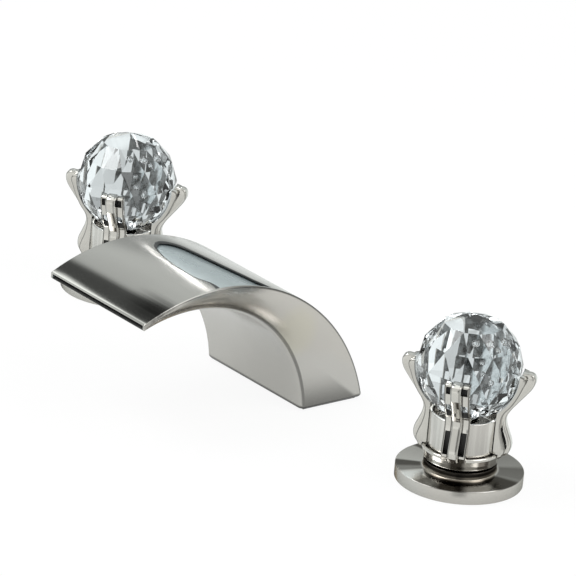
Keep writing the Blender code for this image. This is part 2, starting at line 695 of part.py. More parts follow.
def spindle(side, axis):
    """The stem that the handle turns: a flange keeps it in, and a dog below drives the moving disc."""
    hole_bottom = spindle_top - SPINDLE_HOLE_DEPTH
    stem = make_part(f"{side}_spindle", turned_mesh(f"{side}_spindle", [
        (0, hole_bottom), (SPINDLE_HOLE_RADIUS, hole_bottom), (SPINDLE_HOLE_RADIUS, spindle_top),
        (SPINDLE_RADIUS, spindle_top), (SPINDLE_RADIUS, spindle_flange_top), (disc_radius, spindle_flange_top),
        (disc_radius, spindle_flange_bottom), (0, spindle_flange_bottom),
    ], SMALL_STEPS, closed=False), "brass")
    dog_length = DISC_SLOT_LENGTH - 2 * SEAT_GAP
    dog_bottom = moving_disc_top - DOG_HEIGHT + SEAT_GAP
    dog = make_cutter(f"{side}_spindle_dog", box_mesh(
        "spindle_dog", (-dog_length / 2, -DOG_WIDTH / 2, dog_bottom),
        (dog_length / 2, DOG_WIDTH / 2, (spindle_flange_top + spindle_flange_bottom) / 2)))
    combine(stem, "UNION", dog)
    settle(stem)
    stem.parent = axis


def handle_cup(side, axis):
    """The flared cup: hollow below to cover the valve, with the spindle socket and the collar's plug."""
    foot_top = cup_bottom + CUP_FOOT_ROUND
    foot_chamfer = CUP_FOOT_ROUND * (1 - math.cos(math.pi / 4))
    cup = make_part(f"{side}_handle_cup", turned_mesh(f"{side}_handle_cup", [
        (plug_radius, plug_top), (plug_radius, cup_floor), (CUP_RIM_RADIUS - CUP_RIM_WALL, cup_floor),
        (CUP_RIM_RADIUS - CUP_RIM_WALL, cup_rim), (CUP_RIM_RADIUS, cup_rim),
        (CUP_RIM_RADIUS, (cup_rim + cup_floor) / 2),
        (CUP_FOOT_RADIUS + (CUP_RIM_RADIUS - CUP_FOOT_RADIUS) * CUP_FLARE_SHARE, (cup_floor + foot_top) / 2),
        (CUP_FOOT_RADIUS, foot_top), (CUP_FOOT_RADIUS - foot_chamfer, cup_bottom + foot_chamfer),
        (CUP_FOOT_RADIUS - CUP_FOOT_ROUND, cup_bottom), (CUP_HOLLOW_RADIUS, cup_bottom),
        (CUP_HOLLOW_RADIUS, cup_ceiling), (socket_radius, cup_ceiling), (socket_radius, socket_top),
        (screw_hole_radius, socket_top), (screw_hole_radius, screw_seat),
        (SCREW_HEAD_RADIUS + SEAT_GAP, screw_seat), (SCREW_HEAD_RADIUS + SEAT_GAP, plug_top),
    ], FINE_STEPS), "polished_nickel")
    head_bottom = screw_seat + SEAT_GAP
    screw = make_part(f"{side}_handle_screw", turned_mesh(f"{side}_handle_screw", [
        (0, head_bottom + SCREW_HEAD_HEIGHT), (SCREW_HEAD_RADIUS, head_bottom + SCREW_HEAD_HEIGHT),
        (SCREW_HEAD_RADIUS, head_bottom), (SCREW_RADIUS, head_bottom),
        (SCREW_RADIUS, head_bottom - SCREW_LENGTH), (0, head_bottom - SCREW_LENGTH),
    ], SMALL_STEPS, closed=False), "steel")
    for piece in (cup, screw):
        settle(piece)
        piece.parent = axis


def collar(side, axis):
    """The brushed ring: screwed over the cup's plug, open above, with the boss that carries the ball."""
    recess_floor = collar_floor + COLLAR_FLOOR
    ring = make_part(f"{side}_collar", turned_mesh(f"{side}_collar", [
        (collar_inner_radius, collar_top), (COLLAR_RADIUS - COLLAR_EDGE, collar_top),
        (COLLAR_RADIUS, collar_top - COLLAR_EDGE), (COLLAR_RADIUS, collar_bottom),
        (collar_inner_radius, collar_bottom), (collar_inner_radius, collar_floor),
        (stud_hole_radius, collar_floor), (stud_hole_radius, boss_top), (COLLAR_BOSS_RADIUS, boss_top),
        (COLLAR_BOSS_RADIUS, recess_floor), (collar_inner_radius, recess_floor),
    ], FINE_STEPS), "brushed_nickel")
    stud = make_part(f"{side}_ball_stud", rod_mesh(
        f"{side}_ball_stud", STUD_RADIUS, stud_top, stud_bottom, SMALL_STEPS), "steel")
    for piece in (ring, stud):
        settle(piece)
        piece.parent = axis


def ball_mesh():
    """A ball cut in flat triangles between staggered rings, flat where it seats, drilled for its stud."""
    corners = [Vector((0, 0, ball_corner_radius))]
    for row, polar in enumerate(CORNER_ROWS):
        for side in range(BALL_SIDES):
            around = math.tau * (side + row % 2 / 2) / BALL_SIDES
            across = ball_corner_radius * math.sin(polar)
            corners.append(Vector((
                across * math.cos(around), across * math.sin(around), ball_corner_radius * math.cos(polar))))
    mesh = bpy.data.meshes.new("crystal_ball")
    build = bmesh.new()
    for corner in corners:
        build.verts.new(corner)
    bmesh.ops.convex_hull(build, input=build.verts[:])
    bmesh.ops.dissolve_limit(build, angle_limit=FLAT_ANGLE, verts=build.verts[:], edges=build.edges[:])
    bmesh.ops.recalc_face_normals(build, faces=build.faces[:])
    build.to_mesh(mesh)
    build.free()
    mesh.transform(Matrix.Translation((0, 0, ball_middle)))
    ball = make_cutter("ball_blank", mesh)
    drill = make_cutter("ball_drill", rod_mesh(
        "ball_drill", stud_hole_radius, stud_top + SEAT_GAP, ball_seat - OVERRUN, SMALL_STEPS))
    combine(ball, "DIFFERENCE", drill)
    drilled = settled_mesh(ball)
    bpy.data.objects.remove(ball, do_unlink=True)
    return drilled


def claw_outline(foot_shares, head_shares, head_angles, proud):
    """Side view of a claw: out and up past the collar, round the ball, and back inside both."""
    points = []
    for up, out in foot_shares:
        points.append((COLLAR_RADIUS + proud * out, collar_bottom + COLLAR_HEIGHT * up))
    for out, angle in zip(head_shares, head_angles):
        reach = BALL_RADIUS + proud * out
        points.append((reach * math.cos(angle), ball_middle + reach * math.sin(angle)))
    inside = BALL_RADIUS - CLAW_ROOT
    for angle in head_angles[::-1][::3]:
        points.append((inside * math.cos(angle), ball_middle + inside * math.sin(angle)))
    points.append((COLLAR_RADIUS - CLAW_ROOT, collar_top))
    points.append((COLLAR_RADIUS - CLAW_ROOT, collar_bottom + COLLAR_HEIGHT * foot_shares[0][0]))
    return points


def handle_room():
    """The cup, collar and ball with a gap round them, which the claws are cut to fit."""
    room_ball = BALL_RADIUS * BALL_ROOM_SHARE + SEAT_GAP
    collar_room = COLLAR_RADIUS + SEAT_GAP
    profile = []
    meets = math.acos(collar_room / room_ball)
    for step in range(ROUND_STEPS // 2 + 1):
        angle = math.pi / 2 - (math.pi / 2 + meets) * step / (ROUND_STEPS // 2)
        profile.append((max(0.0, room_ball * math.cos(angle)), ball_middle + room_ball * math.sin(angle)))
    profile[0] = (0.0, profile[0][1])
    profile += [
        (collar_room, cup_rim + SEAT_GAP), (CUP_RIM_RADIUS + SEAT_GAP, cup_rim + SEAT_GAP),
        (CUP_RIM_RADIUS + SEAT_GAP, cup_bottom), (0, cup_bottom),
    ]
    return make_cutter("handle_room", turned_mesh("handle_room", profile, FINE_STEPS, closed=False))


def claw_mesh():
    """One claw on +X: a proud fin between two low ribs, bars across, and three windows a side."""
    ribs = make_cutter("claw_ribs", mesh_radial(plate_mesh("claw_ribs", [(
        claw_outline(RIB_FOOT_SHARES, RIB_HEAD_SHARES, RIB_HEAD_ANGLES, RIB_PROUD), "AUTO")], CLAW_WIDTH)))
    fin = make_cutter("claw_fin", mesh_radial(plate_mesh("claw_fin", [(
        claw_outline(FIN_FOOT_SHARES, FIN_HEAD_SHARES, FIN_HEAD_ANGLES, FIN_PROUD), "AUTO")], FIN_WIDTH)))
    combine(ribs, "UNION", fin)
    spans = [tuple(collar_bottom + COLLAR_HEIGHT * share for share in COLLAR_WINDOW_SHARES)]
    for shares in BALL_WINDOW_SHARES:
        spans.append(tuple(ball_middle + BALL_RADIUS * share for share in shares))
    far = BALL_RADIUS + 2 * FIN_PROUD
    for side in (-1, 1):
        edges = sorted((side * FIN_WIDTH / 2, side * (FIN_WIDTH / 2 + CLAW_WINDOW_WIDTH)))
        for number, (low, high) in enumerate(spans):
            window = make_cutter(f"claw_window_{side}_{number}", box_mesh(
                "claw_window", (0, edges[0], low), (far, edges[1], high)))
            combine(ribs, "DIFFERENCE", window)
    combine(ribs, "DIFFERENCE", handle_room())
    mesh = settled_mesh(ribs)
    return mesh


def handle(side, place, inward, ball, claw):
    """One valve with its handle. What turns hangs on an empty that stands on the joint's axis."""
    axis = bpy.data.objects.new(f"{side}_handle_axis", None)
    parts.objects.link(axis)
    axis.location = place
    flange_set(side, place)
    valve_body(side, place, inward)
    cartridge(side, place, axis)
    clamp_set(f"{side}_valve", VALVE_THREAD_RADIUS, place)
    handle_cup(side, axis)
    collar(side, axis)
    crystal = make_part(f"{side}_crystal_ball", ball.copy(), "crystal")
    crystal.parent = axis
    for number in range(CLAW_COUNT):
        piece = make_part(f"{side}_claw_{number + 1}", claw.copy(), "brushed_nickel")
        settle(piece)
        piece.parent = axis
        piece.rotation_euler.z = CLAW_TURN + math.tau * number / CLAW_COUNT


clear_scene()
parts = make_collection("widespread_faucet")
cutters = make_collection("cutters")
finishes = make_finishes()
outer_arch = Arch(-SPOUT_REACH, CROWN_HEIGHT - LIP_FALL, FOOT_BACK, CROWN_HEIGHT)
inner_arch = Arch(
    -SPOUT_REACH, CROWN_HEIGHT - LIP_FALL - LIP_THICKNESS, -FOOT_FRONT, CROWN_HEIGHT - CROWN_THICKNESS)
spout_body()
spout_base()
spout_tee()
faceted_ball = ball_mesh()
one_claw = claw_mesh()
handle("left", Vector((-HANDLE_SPACING / 2, 0, 0)), 1, faceted_ball, one_claw)
handle("right", Vector((HANDLE_SPACING / 2, 0, 0)), -1, faceted_ball, one_claw)
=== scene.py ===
"""Looks of a widespread bathroom faucet: a brushed nickel arch spout between two crystal handles."""

import json
import math

import bmesh
import bpy
from mathutils import Matrix, Vector

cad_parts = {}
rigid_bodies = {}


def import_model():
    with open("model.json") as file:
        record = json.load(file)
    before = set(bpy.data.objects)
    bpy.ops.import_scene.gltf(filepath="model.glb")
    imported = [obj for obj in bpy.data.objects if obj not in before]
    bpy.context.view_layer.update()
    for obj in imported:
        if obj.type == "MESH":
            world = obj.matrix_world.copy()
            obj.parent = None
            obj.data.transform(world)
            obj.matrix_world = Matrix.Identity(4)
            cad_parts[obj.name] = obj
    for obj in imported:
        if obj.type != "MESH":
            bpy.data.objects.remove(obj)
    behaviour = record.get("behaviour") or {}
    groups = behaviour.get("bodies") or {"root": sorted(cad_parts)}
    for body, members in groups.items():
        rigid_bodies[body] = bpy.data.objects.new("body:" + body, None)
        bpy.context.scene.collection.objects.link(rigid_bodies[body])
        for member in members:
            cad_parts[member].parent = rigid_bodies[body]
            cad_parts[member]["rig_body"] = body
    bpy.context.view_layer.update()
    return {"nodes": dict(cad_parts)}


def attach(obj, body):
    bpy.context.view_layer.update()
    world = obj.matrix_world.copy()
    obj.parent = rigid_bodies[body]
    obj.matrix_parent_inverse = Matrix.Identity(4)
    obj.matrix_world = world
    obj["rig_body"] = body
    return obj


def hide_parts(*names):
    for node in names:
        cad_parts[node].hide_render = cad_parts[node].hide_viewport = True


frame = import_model()

# Sizes of the spout in metres, as the solids have them
HANDLE_X = 0.127
SPOUT_WIDTH = 0.0710
SPOUT_REACH = 0.1087
FOOT_FRONT = 0.0164
FOOT_BACK = 0.0188
CROWN_HEIGHT = 0.0685
CROWN_THICKNESS = 0.0078
LIP_FALL = 0.0099
LIP_THICKNESS = 0.0029
SHELL_WALL = 0.0022
SIDE_WALL = 0.0014
EDGE_ROUND = 0.0006
LEAF_WIDTH = 0.0288
LEAF_ANGLE = math.radians(8.2)
LEAF_SHARES = (
    (1.15, 0.53), (0.66, 0.475), (0.138, 0.358), (-0.40, 0.247), (-0.60, 0.165), (-0.71, -0.035),
    (-0.60, -0.23), (-0.40, -0.35), (-0.065, -0.451), (0.30, -0.495), (0.56, -0.485), (0.75, -0.40),
    (0.92, -0.39), (1.15, -0.45),
)

# Finer forms of the spout that only this file has
LIP_WALL = 0.0005
LIP_ROUND = 0.0003
LIP_ROUND_STEPS = 4
FOOT_ROUND = 0.0028
FOOT_ROUND_STEPS = 8
ARC_STEPS = 150
# The under side is rounded more, from a share of the way from lip to foot, growing over a second share
UNDER_ROUND = 0.0024
UNDER_START = 0.15
UNDER_RUN = 0.55
# The most of the depth that a rounding takes
ROUND_SHARE = 0.4
# The skin above the water way, and how deep its bed lies, both reached at a share of the way
SKIN_WALL = 0.0007
BED_DEPTH = 0.0015
BED_RUN = 0.35
# Where the walls start to grow to the full wall of the foot, and over how long
THICK_START = 0.62
THICK_RUN = 0.2
# How far the hollow runs past the lip and the foot
HOLLOW_PAST = 0.004
# The water way is painted as shadow inside the lip, up to this many leaf widths before the arc's middle
SLOT_SHARE = 0.75
# The leaf's rim, painted dark as shade: its width at each point of the leaf, how steeply it rolls in, and how
# deep
RIM_WIDTHS = (
    0.0003, 0.0003, 0.0004, 0.0007, 0.0012, 0.0017, 0.0015, 0.0010, 0.0006, 0.0005, 0.0010, 0.0020, 0.0026,
    0.0026,
)
RIM_SLOPE = 0.45
RIM_DROP = 0.0008
RIM_STEPS = 5
# The cutter that makes the leaf: how far it stands above the arch and reaches below it
CUTTER_TOP = 0.0030
CUTTER_BOTTOM = -0.0011
# The cutter's bottom has rings within rings, so that it follows the arc
CUTTER_SHARES = (1.0, 0.66, 0.33)
CUTTER_SIDE_STEPS = 30
CUT_OVERLAP = 0.0001

# Sizes of the handles
FLANGE_RADIUS = 0.0284
FLANGE_TOP = 0.0060
FLANGE_WALL = 0.0026
FLANGE_HOLE = 0.0133
FLANGE_RECESS = 0.0030
HUB_RADIUS = 0.0162
HUB_TOP = 0.0094
CUP_BOTTOM = 0.0104
CUP_RIM = 0.0164
CUP_FLOOR = 0.0152
CUP_WALL = 0.0014
CUP_RIM_RADIUS = 0.0177
CUP_FOOT_RADIUS = 0.0166
CUP_TAPER = 0.0001
CUP_RIM_BAND = 0.0014
CUP_FOOT_BAND = 0.0022
CUP_HOLLOW_RADIUS = 0.0138
CUP_HOLLOW_TOP = 0.0125
PLUG_RADIUS = 0.0139
PLUG_TOP = 0.0230
COLLAR_RADIUS = 0.0156
COLLAR_WALL = 0.0014
COLLAR_BOTTOM = 0.0155
COLLAR_HEIGHT = 0.0167
COLLAR_TOP = COLLAR_BOTTOM + COLLAR_HEIGHT
COLLAR_FLOOR_BOTTOM = 0.0233
COLLAR_FLOOR_TOP = 0.0253
BOSS_RADIUS = 0.0062
BOSS_TOP = 0.0312
BALL_RADIUS = 0.0233
BALL_LIFT = 0.0216
BALL_MIDDLE = COLLAR_TOP + BALL_LIFT
BALL_CORNER_SHARE = 1.018
BALL_CORNER_RADIUS = BALL_RADIUS * BALL_CORNER_SHARE
BALL_SIDES = 12
CORNER_ROWS = tuple(math.radians(row) for row in (34, 61, 88, 115, 140, 160))
# Triangles that meet flatter than this are one facet
FLAT_ANGLE = math.radians(0.3)
# The drilled hole for the stud, as an outline of radius and height
STUD_HOLE = ((0.0, 0.0406), (0.0030, 0.0406), (0.0033, 0.0400), (0.0033, 0.0300), (0.0, 0.0300))
STUD_HOLE_STEPS = 48
# Air bubbles in the crystal: place from the ball's middle, and radius
BUBBLES = (
    (0.0100, -0.0070, 0.0146, 0.0016),
    (0.0127, -0.0015, 0.0141, 0.0019),
    (0.0121, 0.0061, 0.0133, 0.0018),
    (0.0152, 0.0008, 0.0117, 0.0013),
    (0.0158, -0.0075, 0.0084, 0.0012),
    (0.0173, -0.0079, 0.0038, 0.0012),
    (0.0187, -0.0044, -0.0001, 0.0012),
)
BUBBLE_STEPS = 3

# Sizes of the claws
CLAW_COUNT = 4
CLAW_TURN = math.radians(-52)
CLAW_WIDTH = 0.0112
FIN_WIDTH = 0.0046
FIN_PROUD = 0.0066
FIN_EDGE = 0.0009
RIB_PROUD = 0.0043
RIB_EDGE = 0.0006
CLAW_ROOT = 0.0030
FIN_FOOT_SHARES = (
    (-0.03, 0.58), (0.05, 0.80), (0.22, 0.95), (0.39, 0.92), (0.63, 0.69), (0.86, 0.48), (1.03, 0.44),
)
RIB_FOOT_SHARES = ((-0.03, 0.58), (0.05, 0.80), (0.15, 1.0), (0.35, 0.88), (0.60, 0.54), (0.95, 0.32))
FIN_HEAD_SHARES = (0.52, 0.50, 0.71, 0.91, 0.99, 0.92, 0.67, 0.30)
FIN_HEAD_ANGLES = tuple(math.radians(angle) for angle in (-42.0, -31.0, -18.0, -10.6, -5.0, -0.4, 2.2, 2.4))
RIB_HEAD_SHARES = (0.54, 0.44, 0.44, 0.53, 0.67, 0.58, 0.28)
RIB_HEAD_ANGLES = tuple(math.radians(angle) for angle in (-46.0, -34.0, -22.0, -11.0, -4.6, -0.8, 0.8))
OUTLINE_STEPS = 8
EDGE_STEPS = 2
# The windows beside the fin: width, heights as shares, how far off collar and ball they start, and reach
WINDOW_WIDTH = 0.0025
COLLAR_WINDOW_SHARES = (0.20, 0.80)
BALL_WINDOW_SHARES = ((-0.88, -0.44), (-0.20, -0.040))
COLLAR_WINDOW_START = 0.0010
BALL_WINDOW_START = 0.0009
WINDOW_REACH = 0.04
# The room that the claws leave for the rest of the handle
SEAT_GAP = 0.0003
BALL_ROOM_SHARE = 1.01
ROOM_ARC_STEPS = 48
ROOM_STEPS = 96

# Sizes below the deck
SHANK_RADIUS = 0.0103
VALVE_RADIUS = 0.0130
NIPPLE_RADIUS = 0.0090
OUTLET_HEIGHT = -0.050
TEE_HEIGHT = -0.05865
# Where each thread ends, along its own tube
SHANK_THREAD = (-0.0015, -0.0394)
NECK_THREAD = (-0.0015, -0.0355)
INLET_THREAD = (-0.0636, -0.0774)
OUTLET_THREAD = (0.0295, 0.0166)
TEE_THREAD = (0.0295, 0.0150)
THREAD_DEPTH = 0.0004
THREAD_PITCH = 0.0018
THREAD_STEPS = 48
# Rows of points in a turn of a thread, and how steep its flanks are
THREAD_ROWS = 6
THREAD_FLANK = 1.5
NUT_TOP = -0.0242
NUT_HEIGHT = 0.0075
NUT_WALL = 0.0040
NUT_SIDES = 6
NUT_FACE_SHARE = 0.965
NUT_ROOM = 0.0002
BORE_PAST = 0.0010
BORE_FLARE = 0.0015
BORE_CHAMFER = 0.0005

TURNED_STEPS = 144
FILLET_STEPS = 4
CURVE_STEPS = 10
SAME_POINT = 1e-7
# Edges sharper than this stay sharp
CREASE = math.radians(30)
BALL_CREASE = math.radians(12)
CLAW_CREASE = math.radians(34)
NUT_CREASE = math.radians(20)
THREAD_CREASE = math.radians(60)


# The two arcs of the spout
class Arch:
    """The circle in the YZ plane through a lip and a foot on the deck that crests at a given height."""

    def __init__(self, lip_y, lip_z, foot_y, crest):
        lip_fall = crest - lip_z
        span = foot_y - lip_y
        ratio = crest / lip_fall
        rest = span ** 2 - crest * lip_fall + crest ** 2
        run = (math.sqrt(span ** 2 - (1 - ratio) * rest) - span) / (ratio - 1)
        self.radius = (run ** 2 + lip_fall ** 2) / (2 * lip_fall)
        self.y = lip_y + run
        self.z = crest - self.radius

    def angle_at_y(self, y, inset=0.0):
        return math.asin((y - self.y) / (self.radius + inset))

    def angle_at_deck(self, inset=0.0):
        return math.acos(-self.z / (self.radius + inset))

    def point(self, angle, inset=0.0):
        radius = self.radius + inset
        return Vector((self.y + radius * math.sin(angle), self.z + radius * math.cos(angle)))

    def along(self, share, past=0.0, inset=0.0):
        """The point at a share of the way from the lip to the foot."""
        start = self.angle_at_y(-SPOUT_REACH - past, inset)
        return self.point(start + (self.angle_at_deck(inset) - start) * share, inset)


LIP_TOP = CROWN_HEIGHT - LIP_FALL
OUTER = Arch(-SPOUT_REACH, LIP_TOP, FOOT_BACK, CROWN_HEIGHT)
INNER = Arch(-SPOUT_REACH, LIP_TOP - LIP_THICKNESS, -FOOT_FRONT, CROWN_HEIGHT - CROWN_THICKNESS)


# Shader maths
GRAIN_ROUGHNESS = 0.6
# A wedge is full up to the first share of its half width, and gone at the second
WEDGE_CORE = 0.55
WEDGE_REACH = 1.25


class Value:
    """A socket of a finish. Sums of it add the Math nodes that they need."""

    def __init__(self, finish, socket):
        self.finish = finish
        self.socket = socket

    def math(self, operation, *values):
        node = self.finish.node("ShaderNodeMath", {"operation": operation}, dict(enumerate(values)))
        return Value(self.finish, node.outputs[0])

    def __add__(self, other):
        return self.math("ADD", self, other)

    def __radd__(self, other):
        return self.math("ADD", other, self)

    def __sub__(self, other):
        return self.math("SUBTRACT", self, other)

    def __rsub__(self, other):
        return self.math("SUBTRACT", other, self)

    def __mul__(self, other):
        return self.math("MULTIPLY", self, other)

    def __rmul__(self, other):
        return self.math("MULTIPLY", other, self)

    def __truediv__(self, other):
        return self.math("DIVIDE", self, other)

    def __rtruediv__(self, other):
        return self.math("DIVIDE", other, self)

    def __pow__(self, other):
        return self.math("POWER", self, other)

    def size(self):
        """The value without its sign."""
        return self.math("ABSOLUTE", self)

    def most(self, other):
        """The larger of two values."""
        return self.math("MAXIMUM", self, other)

    def step(self, low, high):
        """0 below low, 1 above high, and a smooth rise between."""
        node = self.finish.node("ShaderNodeMapRange", {"interpolation_type": "SMOOTHSTEP"}, {
            "Value": self, "From Min": low, "From Max": high})
        return Value(self.finish, node.outputs["Result"])

    def rise(self, low, high, least, more):
        """The least below low, that and more above high, and a smooth rise between."""
        return least + more * self.step(low, high)

    def band(self, low, high, soft):
        """1 between low and high, falling to 0 within soft on either side."""
        return self.step(low - soft, low) * (1 - self.step(high, high + soft))


class Finish:
    """A node tree: a material's or the world's."""

    def __init__(self, tree):
        self.tree = tree

    def node(self, kind, settings, values):
        """A new node with its settings, and with the values or links of its sockets."""
        node = self.tree.nodes.new(kind)
        for name, setting in settings.items():
            setattr(node, name, setting)
        for name, value in values.items():
            socket = node.inputs[name]
            if isinstance(value, Value):
                self.tree.links.new(value.socket, socket)
            elif isinstance(value, bpy.types.NodeSocket):
                self.tree.links.new(value, socket)
            else:
                socket.default_value = value
        return node

    def value(self, kind, settings, values):
        """The first output of a new node."""
        return Value(self, self.node(kind, settings, values).outputs[0])

    def place(self, scale):
        """Where a point of the piece is, with each axis stretched."""
        where = self.node("ShaderNodeTexCoord", {}, {})
        return self.value("ShaderNodeVectorMath", {"operation": "MULTIPLY"}, {
            0: where.outputs["Object"], 1: scale})

    def grain(self, scale, detail):
        """Noise between 0 and 1. An axis with a small scale is one that the grain runs along."""
        return self.value("ShaderNodeTexNoise", {}, {
            "Vector": self.place(scale), "Scale": 1.0, "Detail": detail, "Roughness": GRAIN_ROUGHNESS})

    def mix(self, share, first, second):
        node = self.node("ShaderNodeMix", {"data_type": "RGBA"}, {"Factor": share, "A": first, "B": second})
        return Value(self, node.outputs["Result"])

    def bump(self, height, depth):
        return self.value("ShaderNodeBump", {}, {"Height": height, "Distance": depth, "Strength": 1.0})

    def wedge(self, turn, middle, half):
        """1 in the middle of a wedge of the circle, 0 outside it. Angles in turns."""
        apart = turn - middle + 0.5
        apart = apart.math("FRACT", apart) - 0.5
        return 1 - apart.size().step(half * WEDGE_CORE, half * WEDGE_REACH)

    def axes(self, output="Object"):
        """X, Y and Z of a point of the piece in metres, or of another output of the coordinates."""
        where = self.node("ShaderNodeTexCoord", {}, {})
        split = self.node("ShaderNodeSeparateXYZ", {}, {0: where.outputs[output]})
        return [Value(self, socket) for socket in split.outputs]


def distance(*legs):
    """How long the line is whose parts along the axes are given."""
    total = legs[0] * legs[0]
    for leg in legs[1:]:
        total = total + leg * leg
    return total ** 0.5


def material(name, **values):
    """A material with a Principled shader whose plain values are set on its own sockets."""
    made = bpy.data.materials.new(name)
    made.use_nodes = True
    finish = Finish(made.node_tree)
    shader = made.node_tree.nodes["Principled BSDF"]
    for socket, value in values.items():
        shader.inputs[socket.replace("_", " ")].default_value = value
    return made, finish, shader


def link(finish, value, shader, socket):
    finish.tree.links.new(value.socket, shader.inputs[socket])


def colour(red, green, blue):
    return (red, green, blue, 1.0)


NICKEL = colour(0.640, 0.622, 0.592)
NICKEL_DARK = colour(0.560, 0.543, 0.515)
NICKEL_WARM_REFLECTION = colour(0.640, 0.615, 0.520)
# The near black of the spout's painted reflections and shadow
NICKEL_PAINTED_SHADE = colour(0.030, 0.029, 0.028)

# Finish of the spout. A grain is how often it changes along X, Y and Z, and shares are how much it tells
SPOUT_LINES = (9.0, 3000.0, 3000.0)
SPOUT_STREAKS = (5.0, 330.0, 330.0)
SPOUT_CLOUD = (30.0, 30.0, 30.0)
LINES_SHARE = 0.3
STREAKS_SHARE = 0.7
CLOUD_SHARE = 0.5
# Painted dark reflections on the side faces, in metres inward from the width, from the outer arc and from the
# inner arc
SIDE_FACE = (0.0002, 0.0008)
OUTER_EDGE = (0.0004, 0.0011)
INNER_EDGE = (0.0013, 0.0021, 0.0007)
# How dark those painted edge reflections are along Y: from, to, at the lip, and more at the foot
OUTER_EDGE_DARK = (-0.075, -0.040, 0.35, 0.45)
INNER_EDGE_DARK = (-0.080, -0.040, 0.25, 0.35)
# Painted dark reflection slanting across the foot, a painted contact shadow round the sole and a painted warm
# reflection beside the inner arc
FOOT_Y = -0.0191
FOOT_Z = 0.0292
FOOT_SLANT_Y = -0.620
FOOT_SLANT_Z = -0.785
FOOT_SHADE = (-0.0006, 0.0016)
FOOT_FADE = (0.0, 0.022)
FOOT_LONG_FADE = (0.0, 0.030)
FOOT_REFLECTION_DARK = 0.62
SOLE_SHADE = (0.0014, 0.0030)
SOLE_SHADOW_DARK = 0.90
WARM_REFLECTION_Y = -0.0235
WARM_REFLECTION_Z = 0.0400
WARM_REFLECTION_SQUARES = (0.00002, 0.00022)
WARM_REFLECTION_SHARE = 0.6
# A streaky painted dark reflection on the top of the lip's right corner
LIP_REFLECTION_X = (0.006, 0.030)
LIP_REFLECTION_START = (-0.001, 0.0)
LIP_REFLECTION_END = (0.0010, 0.0020)
LIP_REFLECTION_Y = (-0.104, -0.0965, 0.007)
LIP_REFLECTION_STREAKS = (0.35, 0.65, 0.55, 0.45)
LIP_REFLECTION_DARK = 0.75
# The lip is smoother than the rest
SMOOTH_LIP = (-0.104, -0.090)
SMOOTH_SHARE = 0.5
SPOUT_ROUGH = 0.10
SPOUT_ROUGH_GRAIN = 0.05
BRUSH_DEPTH = 0.000010


def spout_painted_shades(x, y, z, on_side, streaks):
    """The spout's painted darks: dark reflections at its edges, its foot and its lip's corner, and a shadow
    round its sole.
    """
    deep = OUTER.radius - distance(y - OUTER.y, z - OUTER.z)
    above = distance(y - INNER.y, z - INNER.z) - INNER.radius
    # Painted dark reflections along the rounded edges of both arcs
    outer_edge_reflection = on_side * (1 - deep.step(*OUTER_EDGE)) * y.rise(*OUTER_EDGE_DARK)
    inner_edge_reflection = on_side * above.band(*INNER_EDGE) * y.rise(*INNER_EDGE_DARK)
    # Painted dark reflection slanting across the foot's side faces
    slant = (y - FOOT_Y) * FOOT_SLANT_Y + (z - FOOT_Z) * FOOT_SLANT_Z
    foot = on_side * slant.step(*FOOT_SHADE) * (1 - z.step(*FOOT_FADE)) * (1 - z.step(*FOOT_LONG_FADE))
    # Painted contact shadow round the sole
    sole_shadow = (1 - z.step(*SOLE_SHADE)) * SOLE_SHADOW_DARK
    # Painted dark reflection, streaky, on the lip's right corner
    lip_reflection = x.step(*LIP_REFLECTION_X) * deep.step(*LIP_REFLECTION_START) * (1 - deep.step(*LIP_REFLECTION_END)) * y.band(*LIP_REFLECTION_Y)
    lip_reflection = lip_reflection * streaks.rise(*LIP_REFLECTION_STREAKS) * LIP_REFLECTION_DARK
    return outer_edge_reflection.most(inner_edge_reflection).most(foot * FOOT_REFLECTION_DARK).most(sole_shadow).most(lip_reflection)


def brushed_spout():
    """Satin nickel: fine brush lines from side to side, with painted dark reflections, shadow and a warm
    reflection.
    """
    made, finish, shader = material("brushed_nickel_spout", Metallic=1.0)
    lines = finish.grain(SPOUT_LINES, detail=2.0)
    streaks = finish.grain(SPOUT_STREAKS, detail=3.0)
    cloud = finish.grain(SPOUT_CLOUD, detail=2.0)
    x, y, z = finish.axes()
    on_side = 1 - (SPOUT_WIDTH / 2 - x.size()).step(*SIDE_FACE)
    dark = spout_painted_shades(x, y, z, on_side, streaks)
    # Painted warm reflection beside the inner arc
    near = (y - WARM_REFLECTION_Y) * (y - WARM_REFLECTION_Y) + (z - WARM_REFLECTION_Z) * (z - WARM_REFLECTION_Z)
    warm_reflection = on_side * (1 - near.step(*WARM_REFLECTION_SQUARES))
    plain = finish.mix(lines * LINES_SHARE + cloud * CLOUD_SHARE, NICKEL, NICKEL_DARK)
    warmed = finish.mix(warm_reflection * WARM_REFLECTION_SHARE, plain, NICKEL_WARM_REFLECTION)
    link(finish, finish.mix(dark, warmed, NICKEL_PAINTED_SHADE), shader, "Base Color")
    smooth = (1 - y.step(*SMOOTH_LIP)) * SMOOTH_SHARE
    rough = SPOUT_ROUGH + SPOUT_ROUGH_GRAIN * lines + SPOUT_ROUGH_GRAIN * streaks
    link(finish, rough * (1 - smooth), shader, "Roughness")
    relief = lines * LINES_SHARE + streaks * STREAKS_SHARE
    link(finish, finish.bump(relief, BRUSH_DEPTH), shader, "Normal")
    return made


